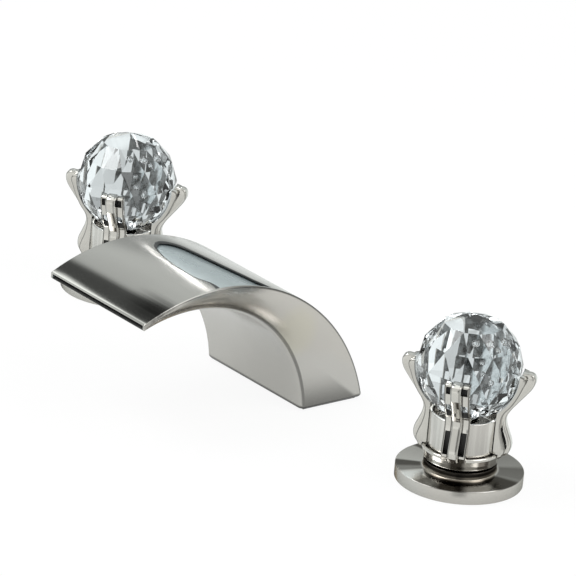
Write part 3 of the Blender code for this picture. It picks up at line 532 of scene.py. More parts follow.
# Finish of the collar, with painted reflections and painted shade
COLLAR_LINES = (2400.0, 2400.0, 14.0)
COLLAR_REFLECTION_BANDS = (190.0, 190.0, 4.0)
COLLAR_REFLECTED_LIGHT = colour(0.86, 0.845, 0.81)
COLLAR_REFLECTED_DARK = colour(0.58, 0.565, 0.54)
COLLAR_INSIDE_SHADE = colour(0.040, 0.036, 0.030)
COLLAR_INSIDE_STARTS = (COLLAR_RADIUS - 0.0020, COLLAR_RADIUS - 0.0013)
COLLAR_INSIDE_SHARE = 0.9
COLLAR_LINES_SHARE = 0.4
COLLAR_REFLECTION_STEP = (0.35, 0.65)
COLLAR_ROUGH = 0.12


def brushed_collar():
    """Satin collar: brush lines up and down, light and dark bands round it as painted reflections, and
    painted shade inside.
    """
    made, finish, shader = material("brushed_nickel_collar", Metallic=1.0)
    lines = finish.grain(COLLAR_LINES, detail=2.0)
    # Painted reflections: soft light and dark bands round the collar at random places
    reflected_bands = finish.grain(COLLAR_REFLECTION_BANDS, detail=2.0).step(*COLLAR_REFLECTION_STEP)
    painted_reflections = finish.mix(reflected_bands, COLLAR_REFLECTED_LIGHT, COLLAR_REFLECTED_DARK)
    x, y, _ = finish.axes()
    # Painted shade inside the collar's top, under the ball
    inside = 1 - distance(x, y).step(*COLLAR_INSIDE_STARTS)
    lined = finish.mix(lines * COLLAR_LINES_SHARE, painted_reflections, NICKEL_DARK)
    link(finish, finish.mix(inside * COLLAR_INSIDE_SHARE, lined, COLLAR_INSIDE_SHADE), shader, "Base Color")
    link(finish, COLLAR_ROUGH + COLLAR_ROUGH * lines, shader, "Roughness")
    link(finish, finish.bump(lines, BRUSH_DEPTH), shader, "Normal")
    return made


# Polished metal: smudges that dull it a little
SMUDGES = (110.0, 110.0, 110.0)
SMUDGE_ROUGH = (0.45, 0.75)
SMUDGE_MORE = 0.06


def polished(name, tint, rough):
    made, finish, shader = material(name, Metallic=1.0)
    smudge = finish.grain(SMUDGES, detail=3.0)
    link(finish, finish.mix(smudge, tint, NICKEL_DARK), shader, "Base Color")
    link(finish, rough + SMUDGE_MORE * smudge.step(*SMUDGE_ROUGH), shader, "Roughness")
    return made


# Finish of the flange. Painted reflections as light and dark wedges of the turned face: angle and half width
# in turns, and depth
DARK_REFLECTION_WEDGES = (
    (0.862, 0.046, 0.98), (0.935, 0.050, 0.50), (0.028, 0.052, 0.93), (0.120, 0.050, 0.70),
    (0.215, 0.060, 0.35), (0.505, 0.018, 0.80), (0.648, 0.022, 0.86), (0.682, 0.020, 0.60),
    (0.798, 0.034, 0.66),
)
BRIGHT_REFLECTION_WEDGE = (0.732, 0.024)
FLANGE_RINGS = 5200.0
# How far the rings stretch a reflection
FLANGE_STRETCH = 0.75
FLANGE_TINT = colour(0.60, 0.585, 0.56)
FLANGE_LIGHT = colour(0.80, 0.78, 0.745)
FLANGE_PAINTED_HIGHLIGHT = colour(0.98, 0.98, 0.96)
FLANGE_REFLECTED_BROWN = colour(0.030, 0.025, 0.020)
HUB_REFLECTED_BROWN = colour(0.34, 0.30, 0.25)
NECK_PAINTED_SHADOW = colour(0.015, 0.013, 0.011)
FLANGE_FACE = (FLANGE_TOP - 0.0006, FLANGE_TOP - 0.0001)
FLANGE_NECK_SHADOW = (FLANGE_TOP + 0.0010, FLANGE_TOP + 0.0018)
FLANGE_SHADED = (HUB_RADIUS, HUB_RADIUS + 0.0016)
HUB_REFLECTION_RING = (0.0, HUB_RADIUS + 0.0002, 0.0004)
RINGS_SHARE = 0.6
HUB_REFLECTION_SHARE = 0.8
NECK_SHADOW_SHARE = 0.95
FLANGE_ROUGH = 0.13
FLANGE_ROUGH_RINGS = 0.10
RING_DEPTH = 0.000006


def turned_flange():
    """Bright turned face: fine rings from the lathe tool, and the light and dark wedges that they throw,
    painted as reflections.
    """
    made, finish, shader = material(
        "turned_nickel", Metallic=1.0, Anisotropic=FLANGE_STRETCH, Specular_Tint=FLANGE_TINT)
    x, y, z = finish.axes()
    radius = distance(x, y)
    rings = finish.value("ShaderNodeTexNoise", {"noise_dimensions": "1D"}, {
        "W": radius, "Scale": FLANGE_RINGS, "Detail": 2.0})
    turn = y.math("ARCTAN2", y, x) / math.tau + 1.0
    # Painted dark reflections: wedges that darken the face, a dark brown where they are deep
    kept_from_dark_reflections = 1.0
    for angle, half, depth in DARK_REFLECTION_WEDGES:
        kept_from_dark_reflections = kept_from_dark_reflections * (1 - depth * finish.wedge(turn, angle, half))
    face = z.step(*FLANGE_FACE)
    # Painted shadow on the upper hub, under the cup
    neck = z.step(*FLANGE_NECK_SHADOW)
    shaded = 1 - (1 - kept_from_dark_reflections) * face * radius.step(*FLANGE_SHADED)
    plain = finish.mix(rings * RINGS_SHARE, NICKEL, NICKEL_DARK)
    plain = finish.mix(face, plain, FLANGE_LIGHT)
    # Painted highlight: one bright wedge of reflection
    highlight_wedge = finish.wedge(turn, *BRIGHT_REFLECTION_WEDGE) * face
    lit = finish.mix(highlight_wedge, plain, FLANGE_PAINTED_HIGHLIGHT)
    with_dark_reflections = finish.mix(shaded, FLANGE_REFLECTED_BROWN, lit)
    # Painted reflection: the hub's side and a thin ring of the face round it take a warm brown
    hub_reflection = radius.band(*HUB_REFLECTION_RING) * face
    warm = finish.mix(hub_reflection * HUB_REFLECTION_SHARE, with_dark_reflections, HUB_REFLECTED_BROWN)
    link(finish, finish.mix(neck * NECK_SHADOW_SHARE, warm, NECK_PAINTED_SHADOW), shader, "Base Color")
    link(finish, FLANGE_ROUGH + FLANGE_ROUGH_RINGS * rings, shader, "Roughness")
    link(finish, finish.bump(rings, RING_DEPTH), shader, "Normal")
    return made


# Finish of the claws: painted shade and dark reflections as lines at distances across the claw, each from, to
# and softness
CREVICE = (FIN_WIDTH / 2 + 0.00010, FIN_WIDTH / 2 + 0.00045, 0.00012)
CREVICE_SHADE = 0.85
CLAW_SIDE = (CLAW_WIDTH / 2 - 0.00055, CLAW_WIDTH / 2 - 0.00012, 0.00016)
CLAW_SIDE_REFLECTION_DARK = 0.75
FIN_SIDE = (FIN_WIDTH / 2 - 0.00070, FIN_WIDTH / 2 - 0.00030, 0.00020)
FIN_SIDE_REFLECTION_DARK = 0.45
# The inner face, which the crystal enlarges: cool, with a flecked painted shade that is deep on one side
INNER_FACE = (BALL_RADIUS + 0.0006, BALL_RADIUS + 0.0011)
INNER_FLECKS = (420.0, 420.0, 420.0)
FLECK_STEP = (0.44, 0.56)
INNER_SHADE = 0.10
INNER_FLECK_SHADE = 0.14
INNER_SHADE_SIDE = (0.0008, 0.0022)
INNER_SIDE_SHADE = 0.68
CLAW_LIGHT = colour(0.80, 0.785, 0.745)
CLAW_INSIDE = colour(0.70, 0.735, 0.745)
CLAW_SHADE_DARK = colour(0.035, 0.031, 0.026)
CLAW_SMUDGE_SHARE = 0.6
CLAW_ROUGH = 0.08


def cast_claw():
    """Polished casting: painted shade beside the fin, and painted dark reflections along the sides of the
    claw and the fin.
    """
    made, finish, shader = material("claw_nickel", Metallic=1.0)
    smudge = finish.grain(SMUDGES, detail=3.0)
    x, y, z = finish.axes()
    across = y.size()
    inside = 1 - distance(x, y, z - BALL_MIDDLE).step(*INNER_FACE)
    flecks = finish.grain(INNER_FLECKS, detail=2.0).step(*FLECK_STEP)
    # Painted shade on the inner face, flecked and deep on one side
    inside_shade = INNER_SHADE + INNER_FLECK_SHADE * flecks + INNER_SIDE_SHADE * y.step(*INNER_SHADE_SIDE)
    # Painted shade in the creases beside the fin, and on the inner face
    dark = (across.band(*CREVICE) * CREVICE_SHADE).most(inside * inside_shade)
    # Painted dark reflections along the rounded sides of the claw and the fin
    dark = dark.most(across.band(*CLAW_SIDE) * CLAW_SIDE_REFLECTION_DARK)
    dark = dark.most(across.band(*FIN_SIDE) * FIN_SIDE_REFLECTION_DARK)
    plain = finish.mix(smudge * CLAW_SMUDGE_SHARE, CLAW_LIGHT, NICKEL)
    plain = finish.mix(inside, plain, CLAW_INSIDE)
    link(finish, finish.mix(dark, plain, CLAW_SHADE_DARK), shader, "Base Color")
    link(finish, CLAW_ROUGH + SMUDGE_MORE * smudge.step(*SMUDGE_ROUGH), shader, "Roughness")
    return made


# Finish of the water way, and of plain dull pieces
BED_CLOUD = (25.0, 40.0, 40.0)
BED_METAL = 0.55
BED_REFLECTED_DARK = colour(0.40, 0.46, 0.48)
BED_REFLECTED_LIGHT = colour(0.50, 0.56, 0.57)
BED_ROUGH = 0.22
BED_ROUGH_CLOUD = 0.12
GRAIN_STEP = (0.3, 0.7)
DULL_SPREAD = 0.2


def water_way():
    """The polished bed under the leaf, half metal so that it also takes plain light, in a cool grey: a
    painted reflection.
    """
    made, finish, shader = material("water_way", Metallic=BED_METAL)
    cloud = finish.grain(BED_CLOUD, detail=3.0)
    link(finish, finish.mix(cloud.step(*GRAIN_STEP), BED_REFLECTED_DARK, BED_REFLECTED_LIGHT), shader, "Base Color")
    link(finish, BED_ROUGH + BED_ROUGH_CLOUD * cloud, shader, "Roughness")
    return made


def dull(name, light, dark, rough, scale, metallic=0.0, depth=0.00003):
    """A plain finish whose colour and roughness vary with a fine grain."""
    made, finish, shader = material(name, Metallic=metallic)
    grain = finish.grain(scale, detail=4.0)
    link(finish, finish.mix(grain.step(*GRAIN_STEP), light, dark), shader, "Base Color")
    link(finish, rough - DULL_SPREAD / 2 + DULL_SPREAD * grain, shader, "Roughness")
    link(finish, finish.bump(grain, depth), shader, "Normal")
    return made


# Finish of the balls
GLASS_CLOUD = (60.0, 60.0, 60.0)
GLASS_CLEAR = colour(0.98, 0.99, 1.0)
GLASS_HAZE = colour(0.93, 0.96, 0.97)
GLASS_IOR = 1.52


def crystal():
    made, finish, shader = material("clear_crystal", Roughness=0.0, IOR=GLASS_IOR, Transmission_Weight=1.0)
    haze = finish.grain(GLASS_CLOUD, detail=2.0)
    link(finish, finish.mix(haze, GLASS_CLEAR, GLASS_HAZE), shader, "Base Color")
    return made


SPOUT = brushed_spout()
COLLAR = brushed_collar()
POLISHED = polished("polished_nickel", colour(0.82, 0.80, 0.765), rough=0.06)
CLAW = cast_claw()
FLANGE = turned_flange()
WATER_WAY = water_way()
# Painted shade: the near black of the leaf's rolled rim and the walls below it
RIM_SHADE = dull(
    "rolled_rim_shade", light=colour(0.030, 0.033, 0.034), dark=colour(0.020, 0.021, 0.021), rough=0.42,
    scale=(300.0, 300.0, 300.0), depth=0.000004)
# Painted shadow: near black for the slot in the lip and the walls of the claws' windows
SHADOW = dull(
    "painted_shadow", light=colour(0.012, 0.012, 0.012), dark=colour(0.025, 0.025, 0.024), rough=0.5,
    scale=(400.0, 400.0, 400.0))
CRYSTAL = crystal()
BRASS = dull(
    "plain_brass", light=colour(0.62, 0.46, 0.22), dark=colour(0.52, 0.37, 0.17), rough=0.32,
    scale=(200.0, 200.0, 1500.0), metallic=1.0, depth=0.000006)
STEEL = dull(
    "stainless", light=colour(0.55, 0.55, 0.56), dark=colour(0.47, 0.47, 0.48), rough=0.30,
    scale=(500.0, 500.0, 500.0), metallic=1.0, depth=0.000005)
RUBBER = dull(
    "black_rubber", light=colour(0.02, 0.02, 0.02), dark=colour(0.035, 0.034, 0.033), rough=0.72,
    scale=(900.0, 900.0, 900.0))
CERAMIC = dull(
    "ground_ceramic", light=colour(0.80, 0.78, 0.74), dark=colour(0.74, 0.72, 0.68), rough=0.28,
    scale=(700.0, 700.0, 700.0), depth=0.000004)


# Pieces
def added(name, data):
    """A new object in the scene."""
    made = bpy.data.objects.new(name, data)
    bpy.context.scene.collection.objects.link(made)
    return made


def piece(name, mesh, finish, body, nodes, place=(0, 0, 0), turn=0.0):
    """A finished piece that stands for CAD nodes and moves with a body. No finish keeps the mesh's own."""
    made = added(name, mesh)
    made.location = place
    made.rotation_euler.z = turn
    if finish is not None:
        mesh.materials.clear()
        mesh.materials.append(finish)
    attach(made, body)
    if nodes:
        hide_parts(*nodes)


def loose(name, mesh, finish=None):
    """An object that is still to be cut or joined."""
    made = added(name, mesh)
    if finish is not None:
        mesh.materials.clear()
        mesh.materials.append(finish)
    return made


def settled(thing):
    """The mesh of an object with its modifiers worked in. The object goes."""
    bpy.context.view_layer.update()
    mesh = bpy.data.meshes.new_from_object(thing.evaluated_get(bpy.context.evaluated_depsgraph_get()))
    bpy.data.objects.remove(thing, do_unlink=True)
    return mesh


def drop(things):
    """Takes cutters away once they have done their work."""
    for thing in things:
        bpy.data.objects.remove(thing, do_unlink=True)


def combine(thing, operation, *others):
    """Cuts an object by others, or joins them to it, once it is settled."""
    for other in others:
        boolean = thing.modifiers.new(other.name, "BOOLEAN")
        boolean.operation = operation
        boolean.solver = "EXACT"
        boolean.material_mode = "TRANSFER"
        boolean.object = other


def shade(mesh, angle=CREASE):
    mesh.shade_smooth()
    mesh.set_sharp_from_angle(angle=angle)
    return mesh


def turn_out(mesh):
    """Every face looks outward."""
    build = bmesh.new()
    build.from_mesh(mesh)
    bmesh.ops.recalc_face_normals(build, faces=build.faces[:])
    build.to_mesh(mesh)
    build.free()


def wall(ring, after, count):
    """The faces between two rings of a count of points, each known by the number of its first point."""
    faces = []
    for spot in range(count):
        side = (spot + 1) % count
        faces.append((ring + spot, ring + side, after + side, after + spot))
    return faces


def fillet(corners):
    """A closed outline of corners, each across, up and the radius that rounds it off."""
    points = [Vector(corner[:2]) for corner in corners]
    found = []
    for i, here in enumerate(points):
        radius = corners[i][2]
        if radius == 0:
            found.append(tuple(here))
            continue
        before = (points[i - 1] - here).normalized()
        after = (points[(i + 1) % len(points)] - here).normalized()
        half = before.angle(after) / 2
        reach = radius / math.tan(half)
        start = here + before * reach
        end = here + after * reach
        centre = here + (before + after).normalized() * (radius / math.sin(half))
        first = start - centre
        whole = first.angle_signed(end - centre)
        for step in range(FILLET_STEPS + 1):
            spoke = first.copy()
            spoke.rotate(Matrix.Rotation(-whole * step / FILLET_STEPS, 2))
            found.append(tuple(centre + spoke))
    return found


def turned(name, points, steps=TURNED_STEPS):
    """A closed (radius, height) outline turned round Z."""
    vertices = []
    rings = []
    for radius, height in points:
        if radius < SAME_POINT:
            rings.append([len(vertices)] * steps)
            vertices.append((0.0, 0.0, height))
        else:
            rings.append(list(range(len(vertices), len(vertices) + steps)))
            for step in range(steps):
                angle = math.tau * step / steps
                vertices.append((radius * math.cos(angle), radius * math.sin(angle), height))
    faces = []
    for ring, after in zip(rings, rings[1:] + rings[:1]):
        if ring[0] == ring[1] and after[0] == after[1]:
            continue
        for step in range(steps):
            side = (step + 1) % steps
            corners = [ring[step], after[step], after[side], ring[side]]
            faces.append(list(dict.fromkeys(corners)))
    mesh = bpy.data.meshes.new(name)
    mesh.from_pydata(vertices, [], faces)
    turn_out(mesh)
    return shade(mesh)


# The spout
def held(share):
    """A share kept between 0 and 1."""
    return min(1.0, max(0.0, share))


def section(share, inset, edge):
    """Points round the arch at a share of its way: a rectangle drawn in by an inset, softer underneath."""
    top = OUTER.along(share)
    down = INNER.along(share) - top
    depth = down.length
    down.normalize()
    half = SPOUT_WIDTH / 2 - inset
    low = inset
    high = depth - inset
    under = edge + (UNDER_ROUND - edge) * held((share - UNDER_START) / UNDER_RUN)
    room = (high - low) * ROUND_SHARE
    edge = min(edge, room)
    under = min(under, room)
    rounded = fillet([(-half, low, edge), (half, low, edge), (half, high, under), (-half, high, under)])
    return [(x, *(top + down * along)) for x, along in rounded]


def spout_rings():
    """Share of the way, inset and edge radius of each ring of the arch, from the lip to the foot."""
    length = OUTER.radius * (OUTER.angle_at_deck() - OUTER.angle_at_y(-SPOUT_REACH))
    rings = []
    for step in range(LIP_ROUND_STEPS + 1):
        angle = math.pi / 2 * (1 - step / LIP_ROUND_STEPS)
        share = LIP_ROUND * (1 - math.sin(angle)) / length
        rings.append((share, LIP_ROUND * (1 - math.cos(angle)), EDGE_ROUND))
    for step in range(1, ARC_STEPS):
        if step / ARC_STEPS < 1 - FOOT_ROUND / length:
            rings.append((step / ARC_STEPS, 0.0, EDGE_ROUND))
    for step in range(FOOT_ROUND_STEPS + 1):
        angle = math.pi / 2 * step / FOOT_ROUND_STEPS
        share = 1 - FOOT_ROUND * (1 - math.sin(angle)) / length
        rings.append((share, FOOT_ROUND * (1 - math.cos(angle)), EDGE_ROUND))
    rings.sort(key=lambda ring: ring[0])
    return rings


def spout_shell():
    """The outside of the arch as rings of points from the lip to the foot, closed at both ends."""
    rings = spout_rings()
    vertices = []
    for share, inset, edge in rings:
        vertices += section(share, inset, edge)
    around = len(vertices) // len(rings)
    faces = []
    for ring in range(len(rings) - 1):
        faces += wall(ring * around, (ring + 1) * around, around)
    faces.append(tuple(range(around)))
    faces.append(tuple(range((len(rings) - 1) * around, len(rings) * around)))
    mesh = bpy.data.meshes.new("spout_shell")
    mesh.from_pydata(vertices, [], faces)
    turn_out(mesh)
    return mesh


def hollow_outline():
    """The water way seen from the side, along its roof to the foot and back along its floor."""
    roofs = []
    floors = []
    for step in range(ARC_STEPS + 1):
        share = step / ARC_STEPS
        opened = min(1.0, share / BED_RUN)
        closing = held((share - THICK_START) / THICK_RUN)
        roof = LIP_WALL + (SKIN_WALL - LIP_WALL) * opened + (SHELL_WALL - SKIN_WALL) * closing
        bed = LIP_THICKNESS - LIP_WALL + (BED_DEPTH - LIP_THICKNESS + LIP_WALL) * opened
        roofs.append(OUTER.along(share, HOLLOW_PAST, -roof))
        floor = OUTER.along(share, HOLLOW_PAST, -bed)
        floors.append(floor.lerp(INNER.along(share, HOLLOW_PAST, SHELL_WALL), closing))
    roofs.append(Vector((roofs[-1].x, -HOLLOW_PAST)))
    floors.append(Vector((floors[-1].x, -HOLLOW_PAST)))
    return roofs + floors[::-1]


def spout_hollow():
    """The water way inside the arch, open at the foot and at the slot in the lip, shallow under the leaf."""
    half = SPOUT_WIDTH / 2 - SIDE_WALL
    outline = hollow_outline()
    vertices = [(side * half, *point) for side in (-1, 1) for point in outline]
    count = len(outline)
    faces = [tuple(range(count)), tuple(range(count, 2 * count))]
    faces += wall(0, count, count)
    mesh = bpy.data.meshes.new("spout_hollow")
    mesh.from_pydata(vertices, [], faces)
    mesh.materials.append(WATER_WAY)
    mesh.materials.append(SHADOW)
    turn_out(mesh)
    # Faces in the lip's slot take the painted shadow
    for face in mesh.polygons:
        if face.center.y < OUTER.y - LEAF_WIDTH * SLOT_SHARE:
            face.material_index = 1
    return mesh


def smooth_outline(points):
    """A closed curve through points, as even tangents make it. Points may have any number of values."""
    count = len(points)
    found = []
    for i in range(count):
        before, start, end, after = (Vector(points[(i + k) % count]) for k in (-1, 0, 1, 2))
        reach = (end - start).length
        lean_out = (end - before).normalized() * reach
        lean_in = (after - start).normalized() * reach
        for step in range(CURVE_STEPS):
            t = step / CURVE_STEPS
            found.append(
                start * (2 * t ** 3 - 3 * t ** 2 + 1) + lean_out * (t ** 3 - 2 * t ** 2 + t)
                + end * (3 * t ** 2 - 2 * t ** 3) + lean_in * (t ** 3 - t ** 2))
    return found


def outward_of(outline):
    """The direction that points out of a closed outline at each of its points."""
    count = len(outline)
    outward = []
    for i in range(count):
        tangent = outline[(i + 1) % count] - outline[i - 1]
        outward.append(Vector((tangent.y, -tangent.x)).normalized())
    if sum(a.x * b.y - a.y * b.x for a, b in zip(outline, outline[1:] + outline[:1])) < 0:
        outward = [-vector for vector in outward]
    return outward


def kept_inside(half, outline, outward, widths):
    """The run of a closed outline that lies this side of X = half, closed by points on that line."""
    count = len(outline)
    first = next(i for i in range(count) if outline[i - 1].x > half >= outline[i].x)
    order = [(first + i) % count for i in range(count)]
    order = order[:next(i for i, spot in enumerate(order) if outline[spot].x > half)]
    before = order[0] - 1
    after = (order[-1] + 1) % count
    ends = []
    for inside, outside in ((order[0], before), (order[-1], after)):
        share = (half - outline[inside].x) / (outline[outside].x - outline[inside].x)
        ends.append(outline[inside].lerp(outline[outside], share))
    outline = [ends[0]] + [outline[i] for i in order] + [ends[1]]
    outward = [outward[order[0]]] + [outward[i] for i in order] + [outward[order[-1]]]
    widths = [widths[order[0]]] + [widths[i] for i in order] + [widths[order[-1]]]
    for end in (0, -1):
        outward[end] = Vector((0, outward[end].y)).normalized()
    for step in range(1, CUTTER_SIDE_STEPS):
        outline.append(ends[1].lerp(ends[0], step / CUTTER_SIDE_STEPS))
        outward.append(Vector((1, 0)))
        widths.append(widths[0])
    return outline, outward, widths


def leaf_rings():
    """Share of the leaf, spread over the rim, height and drop into the rim of each ring of the cutter."""
    rings = [(1.0, 1.0, CUTTER_TOP, 0.0)]
    for step in range(RIM_STEPS + 1):
        angle = math.pi / 2 * step / RIM_STEPS
        rings.append((1.0, 1 - math.sin(angle), 0.0, -(1 - math.cos(angle))))
    return rings + [(share, 0.0, CUTTER_BOTTOM, 0.0) for share in CUTTER_SHARES]


def leaf_cutter():
    """What the leaf takes out of the arch's top wall, with a rim that rolls down into it."""
    half = SPOUT_WIDTH / 2 - SIDE_WALL + CUT_OVERLAP
    middle = OUTER.radius * LEAF_ANGLE
    outline = smooth_outline([(across * half, along * LEAF_WIDTH) for across, along in LEAF_SHARES])
    widths = [value.x for value in smooth_outline([(width, 0.0) for width in RIM_WIDTHS])]
    outline, outward, widths = kept_inside(half, outline, outward_of(outline), widths)
    count = len(outline)
    centre = sum(outline, Vector((0, 0))) / count
    rings = leaf_rings()
    vertices = []
    for share, spread, level, rolled in rings:
        for spot, out, width in zip(outline, outward, widths):
            place = centre + (spot - centre) * share + out * (width * spread)
            height = level + rolled * min(width * RIM_SLOPE, RIM_DROP)
            angle = (middle + place.y) / OUTER.radius
            vertices.append((min(place.x, half), *OUTER.point(angle, height)))
    last = len(rings) - 1
    faces = [tuple(range(count)), tuple(range(last * count, len(rings) * count))]
    for ring in range(last):
        faces += wall(ring * count, (ring + 1) * count, count)
    mesh = bpy.data.meshes.new("leaf_cutter")
    mesh.from_pydata(vertices, [], faces)
    # The rim and the leaf's walls that this cuts take the painted shade
    mesh.materials.append(RIM_SHADE)
    build = bmesh.new()
    build.from_mesh(mesh)
    bmesh.ops.remove_doubles(build, verts=build.verts[:], dist=SAME_POINT)
    bmesh.ops.triangulate(build, faces=build.faces[:])
    bmesh.ops.recalc_face_normals(build, faces=build.faces[:])
    build.to_mesh(mesh)
    build.free()
    return mesh


def spout():
    shell = loose("spout_shell", spout_shell(), SPOUT)
    hollow = loose("spout_hollow", spout_hollow())
    leaf = loose("leaf_cutter", leaf_cutter())
    combine(shell, "DIFFERENCE", hollow, leaf)
    mesh = shade(settled(shell))
    drop((hollow, leaf))
    body = frame["nodes"]["spout_body"].get("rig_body")
    piece("arched_spout", mesh, None, body, ["spout_body"])


# The handles. Each turned piece is an outline of radius, height and the radius that rounds the corner off
def flange_mesh():
    inner = FLANGE_RADIUS - FLANGE_WALL
    return turned("flange", fillet([
        (FLANGE_HOLE, HUB_TOP, 0.0003),
        (HUB_RADIUS, HUB_TOP, 0.0006),
        (HUB_RADIUS, FLANGE_TOP, 0.0004),
        (FLANGE_RADIUS, FLANGE_TOP, 0.0005),
        (FLANGE_RADIUS, 0, 0.0002),
        (inner, 0, 0),
        (inner, FLANGE_RECESS, 0),
        (FLANGE_HOLE, FLANGE_RECESS, 0),
    ]))


def cup_mesh():
    inner = CUP_RIM_RADIUS - CUP_WALL
    return turned("cup", fillet([
        (PLUG_RADIUS, PLUG_TOP, 0.0003),
        (PLUG_RADIUS, CUP_FLOOR, 0),
        (inner, CUP_FLOOR, 0),
        (inner, CUP_RIM, 0.0005),
        (CUP_RIM_RADIUS, CUP_RIM, 0.0006),
        (CUP_RIM_RADIUS - CUP_TAPER, CUP_RIM - CUP_RIM_BAND, 0.0010),
        (CUP_FOOT_RADIUS + CUP_TAPER, CUP_BOTTOM + CUP_FOOT_BAND, 0.0026),
        (CUP_FOOT_RADIUS, CUP_BOTTOM, 0.0009),
        (CUP_HOLLOW_RADIUS, CUP_BOTTOM, 0.0003),
        (CUP_HOLLOW_RADIUS, CUP_HOLLOW_TOP, 0),
        (0.0, CUP_HOLLOW_TOP, 0),
        (0.0, PLUG_TOP, 0),
    ]))


def collar_mesh():
    inner = COLLAR_RADIUS - COLLAR_WALL
    return turned("collar", fillet([
        (inner, COLLAR_TOP, 0.0004),
        (COLLAR_RADIUS, COLLAR_TOP, 0.0004),
        (COLLAR_RADIUS, COLLAR_BOTTOM, 0.0003),
        (inner, COLLAR_BOTTOM, 0),
        (inner, COLLAR_FLOOR_BOTTOM, 0),
        (0.0, COLLAR_FLOOR_BOTTOM, 0),
        (0.0, BOSS_TOP, 0),
        (BOSS_RADIUS, BOSS_TOP, 0.0004),
        (BOSS_RADIUS, COLLAR_FLOOR_TOP, 0),
        (inner, COLLAR_FLOOR_TOP, 0.0005),
    ]))


def cut_ball():
    """Flat triangles between staggered rings of corners, and a flat seat."""
    corners = [Vector((0, 0, BALL_CORNER_RADIUS))]
    for row, polar in enumerate(CORNER_ROWS):
        for side in range(BALL_SIDES):
            around = math.tau * (side + row % 2 / 2) / BALL_SIDES
            across = BALL_CORNER_RADIUS * math.sin(polar)
            up = BALL_CORNER_RADIUS * math.cos(polar)
            corners.append(Vector((across * math.cos(around), across * math.sin(around), up)))
    build = bmesh.new()
    for corner in corners:
        build.verts.new(corner)
    bmesh.ops.convex_hull(build, input=build.verts[:])
    bmesh.ops.dissolve_limit(build, angle_limit=FLAT_ANGLE, verts=build.verts[:], edges=build.edges[:])
    bmesh.ops.recalc_face_normals(build, faces=build.faces[:])
    mesh = bpy.data.meshes.new("cut_ball")
    build.to_mesh(mesh)
    build.free()
    mesh.transform(Matrix.Translation((0, 0, BALL_MIDDLE)))
    return mesh


def ball_mesh():
    """The cut ball with the hole for its stud, and small bubbles inside."""
    ball = loose("cut_ball", cut_ball(), CRYSTAL)
    hole = loose("stud_hole", turned("stud_hole", STUD_HOLE, STUD_HOLE_STEPS), CRYSTAL)
    combine(ball, "DIFFERENCE", hole)
    mesh = settled(ball)
    drop([hole])
    build = bmesh.new()
    build.from_mesh(mesh)
    for across, out, up, size in BUBBLES:
        place = Vector((across, out, up)) + Vector((0, 0, BALL_MIDDLE))
        made = bmesh.ops.create_icosphere(
            build, subdivisions=BUBBLE_STEPS, radius=size, matrix=Matrix.Translation(place))
        faces = {face for vertex in made["verts"] for face in vertex.link_faces}
        bmesh.ops.reverse_faces(build, faces=list(faces))
    build.to_mesh(mesh)
    build.free()
    return shade(mesh, BALL_CREASE)


# The claws
# Turns a plate that lies flat so that it stands in the XZ plane
STOOD_UP = Matrix(((1, 0, 0, 0), (0, 0, -1, 0), (0, 1, 0, 0), (0, 0, 0, 1)))


def claw_outline(foot_shares, head_shares, head_angles, proud):
    """Side view of a claw: out and up past the collar, round the ball, and back inside both."""
    points = []
    for up, out in foot_shares:
        points.append((COLLAR_RADIUS + proud * out, COLLAR_BOTTOM + COLLAR_HEIGHT * up))
    for out, angle in zip(head_shares, head_angles):
        reach = BALL_RADIUS + proud * out
        points.append((reach * math.cos(angle), BALL_MIDDLE + reach * math.sin(angle)))
    inside = BALL_RADIUS - CLAW_ROOT
    for angle in head_angles[::-1][::3]:
        points.append((inside * math.cos(angle), BALL_MIDDLE + inside * math.sin(angle)))
    points.append((COLLAR_RADIUS - CLAW_ROOT, COLLAR_TOP))
    points.append((COLLAR_RADIUS - CLAW_ROOT, COLLAR_BOTTOM + COLLAR_HEIGHT * foot_shares[0][0]))
    return points


def round_edged_plate(name, points, width, edge):
    """A flat outline given a width along Y, with its two rims rounded over."""
    outline = bpy.data.curves.new(name, "CURVE")
    outline.dimensions = "2D"
    outline.fill_mode = "BOTH"
    outline.extrude = width / 2 - edge
    outline.bevel_depth = edge
    outline.bevel_resolution = EDGE_STEPS
    outline.offset = -edge
    spline = outline.splines.new("BEZIER")
    spline.resolution_u = OUTLINE_STEPS
    spline.bezier_points.add(len(points) - 1)
    for spot, (x, y) in zip(spline.bezier_points, points):
        spot.co = (x, y, 0)
        spot.handle_left_type = "AUTO"
        spot.handle_right_type = "AUTO"
    spline.use_cyclic_u = True
    mesh = settled(loose(name, outline))
    mesh.transform(STOOD_UP)
    build = bmesh.new()
    build.from_mesh(mesh)
    bmesh.ops.remove_doubles(build, verts=build.verts[:], dist=SAME_POINT)
    bmesh.ops.recalc_face_normals(build, faces=build.faces[:])
    build.to_mesh(mesh)
    build.free()
    return mesh


def box_mesh(name, low, high):
    mesh = bpy.data.meshes.new(name)
    build = bmesh.new()
    size = [b - a for a, b in zip(low, high)]
    middle = [(a + b) / 2 for a, b in zip(low, high)]
    bmesh.ops.create_cube(build, size=1, matrix=Matrix.Translation(middle) @ Matrix.Diagonal((*size, 1)))
    build.to_mesh(mesh)
    build.free()
    return mesh


